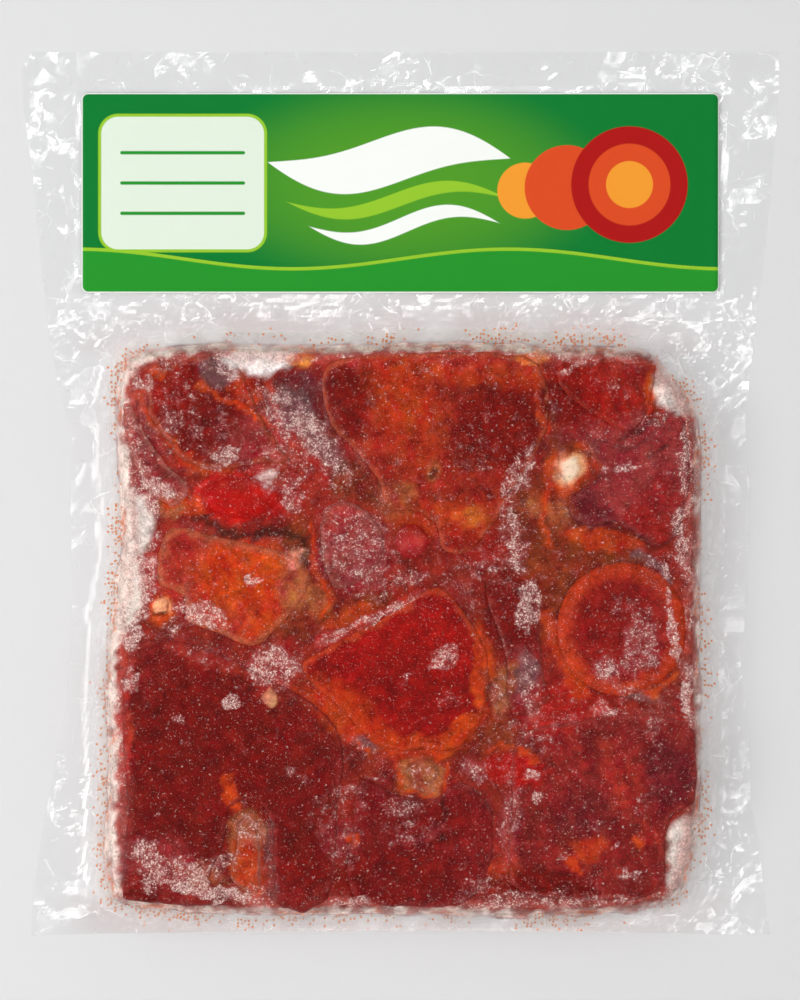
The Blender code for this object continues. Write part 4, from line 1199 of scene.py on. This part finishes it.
# %% Shapes of the print
def shape_group(name, sockets):
    """A node group that puts out how far inside a shape each point lies, in millimetres."""
    tree = bpy.data.node_groups.new(name, "ShaderNodeTree")
    for socket in sockets:
        tree.interface.new_socket(name=socket, in_out="INPUT", socket_type="NodeSocketFloat")
    tree.interface.new_socket(name="Depth", in_out="OUTPUT", socket_type="NodeSocketFloat")
    inside, out = tree.nodes.new("NodeGroupInput"), tree.nodes.new("NodeGroupOutput")
    place = tree.nodes.new("ShaderNodeTexCoord").outputs["Object"]
    parts = add_node(tree, "ShaderNodeSeparateXYZ", {0: place}).outputs
    away = [minus(tree, times(tree, parts[axis], 1000.0), inside.outputs[axis]) for axis in "XY"]
    return tree, inside.outputs, out.inputs["Depth"], away


def squares(tree, first, second):
    """The sum of two squares, as a socket."""
    return plus(tree, times(tree, first, first), times(tree, second, second))


def make_disc_group():
    """How far inside a disc each point lies."""
    tree, given, result, (away_x, away_y) = shape_group("disc", ("X", "Y", "Radius"))
    depth = minus(tree, given["Radius"], calculate(tree, "SQRT", squares(tree, away_x, away_y)))
    tree.links.new(depth, result)
    return tree


def make_box_group():
    """How far inside a box with round corners each point lies."""
    halves = ("Half width", "Half height")
    tree, given, result, away = shape_group("rounded box", ("X", "Y", *halves, "Corner"))
    sides = []
    for distance, half in zip(away, halves):
        straight = minus(tree, given[half], given["Corner"])
        beyond = minus(tree, calculate(tree, "ABSOLUTE", distance), straight)
        sides.append(calculate(tree, "MAXIMUM", beyond, 0.0))
    depth = minus(tree, given["Corner"], calculate(tree, "SQRT", squares(tree, *sides)))
    tree.links.new(depth, result)
    return tree


SHAPE_GROUPS = {"disc": make_disc_group(), "box": make_box_group()}
PRINT_SOFT = 0.12


def cut(tree, shape, values, soft=PRINT_SOFT):
    """Mask of a shape with an edge as soft as a printed one."""
    node = tree.nodes.new("ShaderNodeGroup")
    node.node_tree = SHAPE_GROUPS[shape]
    for socket, value in zip(node.inputs, values):
        socket.default_value = value
    return remap(tree, node.outputs[0], -soft, soft)


print(list(SHAPE_GROUPS), "are the shapes of the print")

# %% [markdown]
# The print is laid from the back to the front: green with a soft glow, a lighter green under a wave
# along the foot, three sweeps, then a plain panel with three lines and some overlapping discs. The
# white edge comes last, as everything outside a box that is a little smaller than the label.

# %% Print of the label
PRINT = {
    "dark": (8, 116, 45), "middle": (34, 140, 40), "glow": (84, 152, 34), "lime": (140, 188, 44),
    "pale": (212, 224, 208), "white": (232, 235, 230), "coral": (208, 72, 32), "red": (164, 20, 18),
    "gold": (230, 148, 46),
}
PRINT_SHAPES = (
    # tone, shape, values: discs have x, y, radius; boxes x, y, half width, half height, corner
    ("lime", "box", -57.5, 82.0, 22.3, 18.3, 5.3), ("pale", "box", -57.5, 82.0, 21.5, 17.5, 4.5),
    ("middle", "box", -57.5, 90.0, 16.5, 0.45, 0.45), ("middle", "box", -57.5, 82.0, 16.5, 0.45, 0.45),
    ("middle", "box", -57.5, 74.0, 16.5, 0.45, 0.45),
    ("gold", "disc", 33.0, 80.0, 7.4), ("coral", "disc", 44.0, 80.8, 11.2),
    ("red", "disc", 60.5, 81.6, 15.4), ("coral", "disc", 60.5, 81.6, 10.8), ("gold", "disc", 60.5, 81.6, 6.2),
)
SWEEPS = (
    # tone, x of the middle, y, half length, half thickness, rise of the wave
    ("white", -3.0, 88.0, 32.0, 6.6, 3.6), ("lime", -1.0, 77.5, 29.0, 2.0, 3.6),
    ("white", 1.0, 71.0, 25.0, 2.2, 3.6),
)
GLOW_Y, GLOW_HALF_WIDTH, GLOW_HALF_HEIGHT = 82, 52, 26
WAVE_PITCH, WAVE_HEIGHT, WAVE_Y = 0.055, 2.6, 61.5
WHITE_EDGE, EDGE_CORNER = 0.3, 1.5


def label_print():
    """A green print of plain shapes inside a thin white edge."""
    material, tree, shader = new_material("printed_label")
    place = tree.nodes.new("ShaderNodeTexCoord").outputs["Object"]
    parts = add_node(tree, "ShaderNodeSeparateXYZ", {0: place}).outputs
    across, up = (times(tree, parts[axis], 1000.0) for axis in "XY")
    tones = {name: tuple(tone(*value)) for name, value in PRINT.items()}
    glow_x = times(tree, across, 1 / GLOW_HALF_WIDTH)
    glow_y = times(tree, minus(tree, up, GLOW_Y), 1 / GLOW_HALF_HEIGHT)
    glow = remap(tree, squares(tree, glow_x, glow_y), 1.3, 0.0, 0.0, 0.8, interpolation_type="SMOOTHSTEP")
    colour = blend_tones(tree, glow, tones["dark"], tones["glow"])
    wave = calculate(tree, "SINE", times(tree, across, WAVE_PITCH))
    below = minus(tree, plus(tree, times(tree, wave, WAVE_HEIGHT), WAVE_Y), up)
    for name, low, high in (("lime", -0.9, 0.0), ("middle", 0.0, 99.0)):
        past_low = calculate(tree, "GREATER_THAN", below, low)
        short_of_high = calculate(tree, "LESS_THAN", below, high)
        colour = blend_tones(tree, times(tree, past_low, short_of_high), colour, tones[name])
    for name, middle_x, middle_y, half_length, half_thick, rise in SWEEPS:
        along = times(tree, minus(tree, across, middle_x), 1 / half_length)
        bow = times(tree, calculate(tree, "SINE", times(tree, along, 3.0)), rise)
        away = minus(tree, minus(tree, up, middle_y), bow)
        taper = minus(tree, 1.0, times(tree, along, along))
        depth = minus(tree, times(tree, taper, half_thick), calculate(tree, "ABSOLUTE", away))
        colour = blend_tones(tree, remap(tree, depth, -PRINT_SOFT, PRINT_SOFT), colour, tones[name])
    for name, shape, *values in PRINT_SHAPES:
        colour = blend_tones(tree, cut(tree, shape, values), colour, tones[name])
    (centre_x, centre_y, _), (half_x, half_y, _) = (LABEL_LOW + LABEL_HIGH) / 2, (LABEL_HIGH - LABEL_LOW) / 2
    body = (centre_x, centre_y, half_x - WHITE_EDGE, half_y - WHITE_EDGE, EDGE_CORNER)
    colour = blend_tones(tree, cut(tree, "box", body, 0.1), tones["white"], colour)
    tree.links.new(colour, shader.inputs["Base Color"])
    fibre = noise(tree, place, 1400.0, 3.0)["Fac"]
    bump = add_node(tree, "ShaderNodeBump", {"Height": fibre, "Strength": 0.08, "Distance": 0.0002})
    tree.links.new(bump.outputs["Normal"], shader.inputs["Normal"])
    shader.inputs["Roughness"].default_value = 0.45
    shader.inputs["Specular IOR Level"].default_value = 0.05
    return material


label_finish = label_print()
print(len(label_finish.node_tree.nodes), "nodes in the print")

# %% [markdown]
# The sticker is a grid of points drawn in at its four corners. It floats just above the crumpled
# film with a faint wave in it, and a modifier gives it the thickness of coated paper.

# %% Label
LABEL_CELL = 1.4
LABEL_SEAT, LABEL_WAVE, LABEL_THICKNESS = 0.60, 0.08, 0.15
LABEL_CORNER = 1.8
CORNER_TURNS = (90, 66, 45, 24, 8)


def make_label():
    """The sticker, with round corners."""
    low, high = LABEL_LOW, LABEL_HIGH
    half_height, half_width = (high.y - low.y) / 2, (high.x - low.x) / 2
    # rows of points lie closer together at both ends, where the corners are round
    near_edge = [LABEL_CORNER * (1 - sin(radians(turn))) - half_height for turn in CORNER_TURNS]
    straight = half_height - LABEL_CORNER
    inner = np.linspace(-straight, straight, round(2 * half_height / LABEL_CELL))
    row_y = near_edge + list(inner) + [-y for y in reversed(near_edge)]
    columns = round(2 * half_width / LABEL_CELL)
    bm = bmesh.new()
    bmesh.ops.create_grid(bm, x_segments=columns, y_segments=len(row_y) - 1, size=1.0)
    for vert in bm.verts:
        y = row_y[round((vert.co.y + 1) / 2 * (len(row_y) - 1))]
        into_corner = max(abs(y) - straight, 0.0)
        trim = LABEL_CORNER - max(LABEL_CORNER ** 2 - into_corner ** 2, 0.0) ** 0.5
        x, y = vert.co.x * (half_width - trim) + (low.x + high.x) / 2, y + (low.y + high.y) / 2
        wave = LABEL_WAVE * float(lumps(np.array([x]), np.array([y]), 16, 310)[0])
        vert.co = Vector((x, y, LABEL_SEAT + wave)) * MM
    piece = add_piece("label_sticker", bm)
    piece.data.materials.append(label_finish)
    wall = piece.modifiers.new("thickness", "SOLIDIFY")
    wall.thickness = LABEL_THICKNESS * MM
    wall.offset = 1.0
    piece.data.shade_smooth()
    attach(piece, "root")
    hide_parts("label")
    return piece


label_piece = make_label()
print("label has", len(label_piece.data.polygons), "faces and sits at", LABEL_SEAT, "mm")
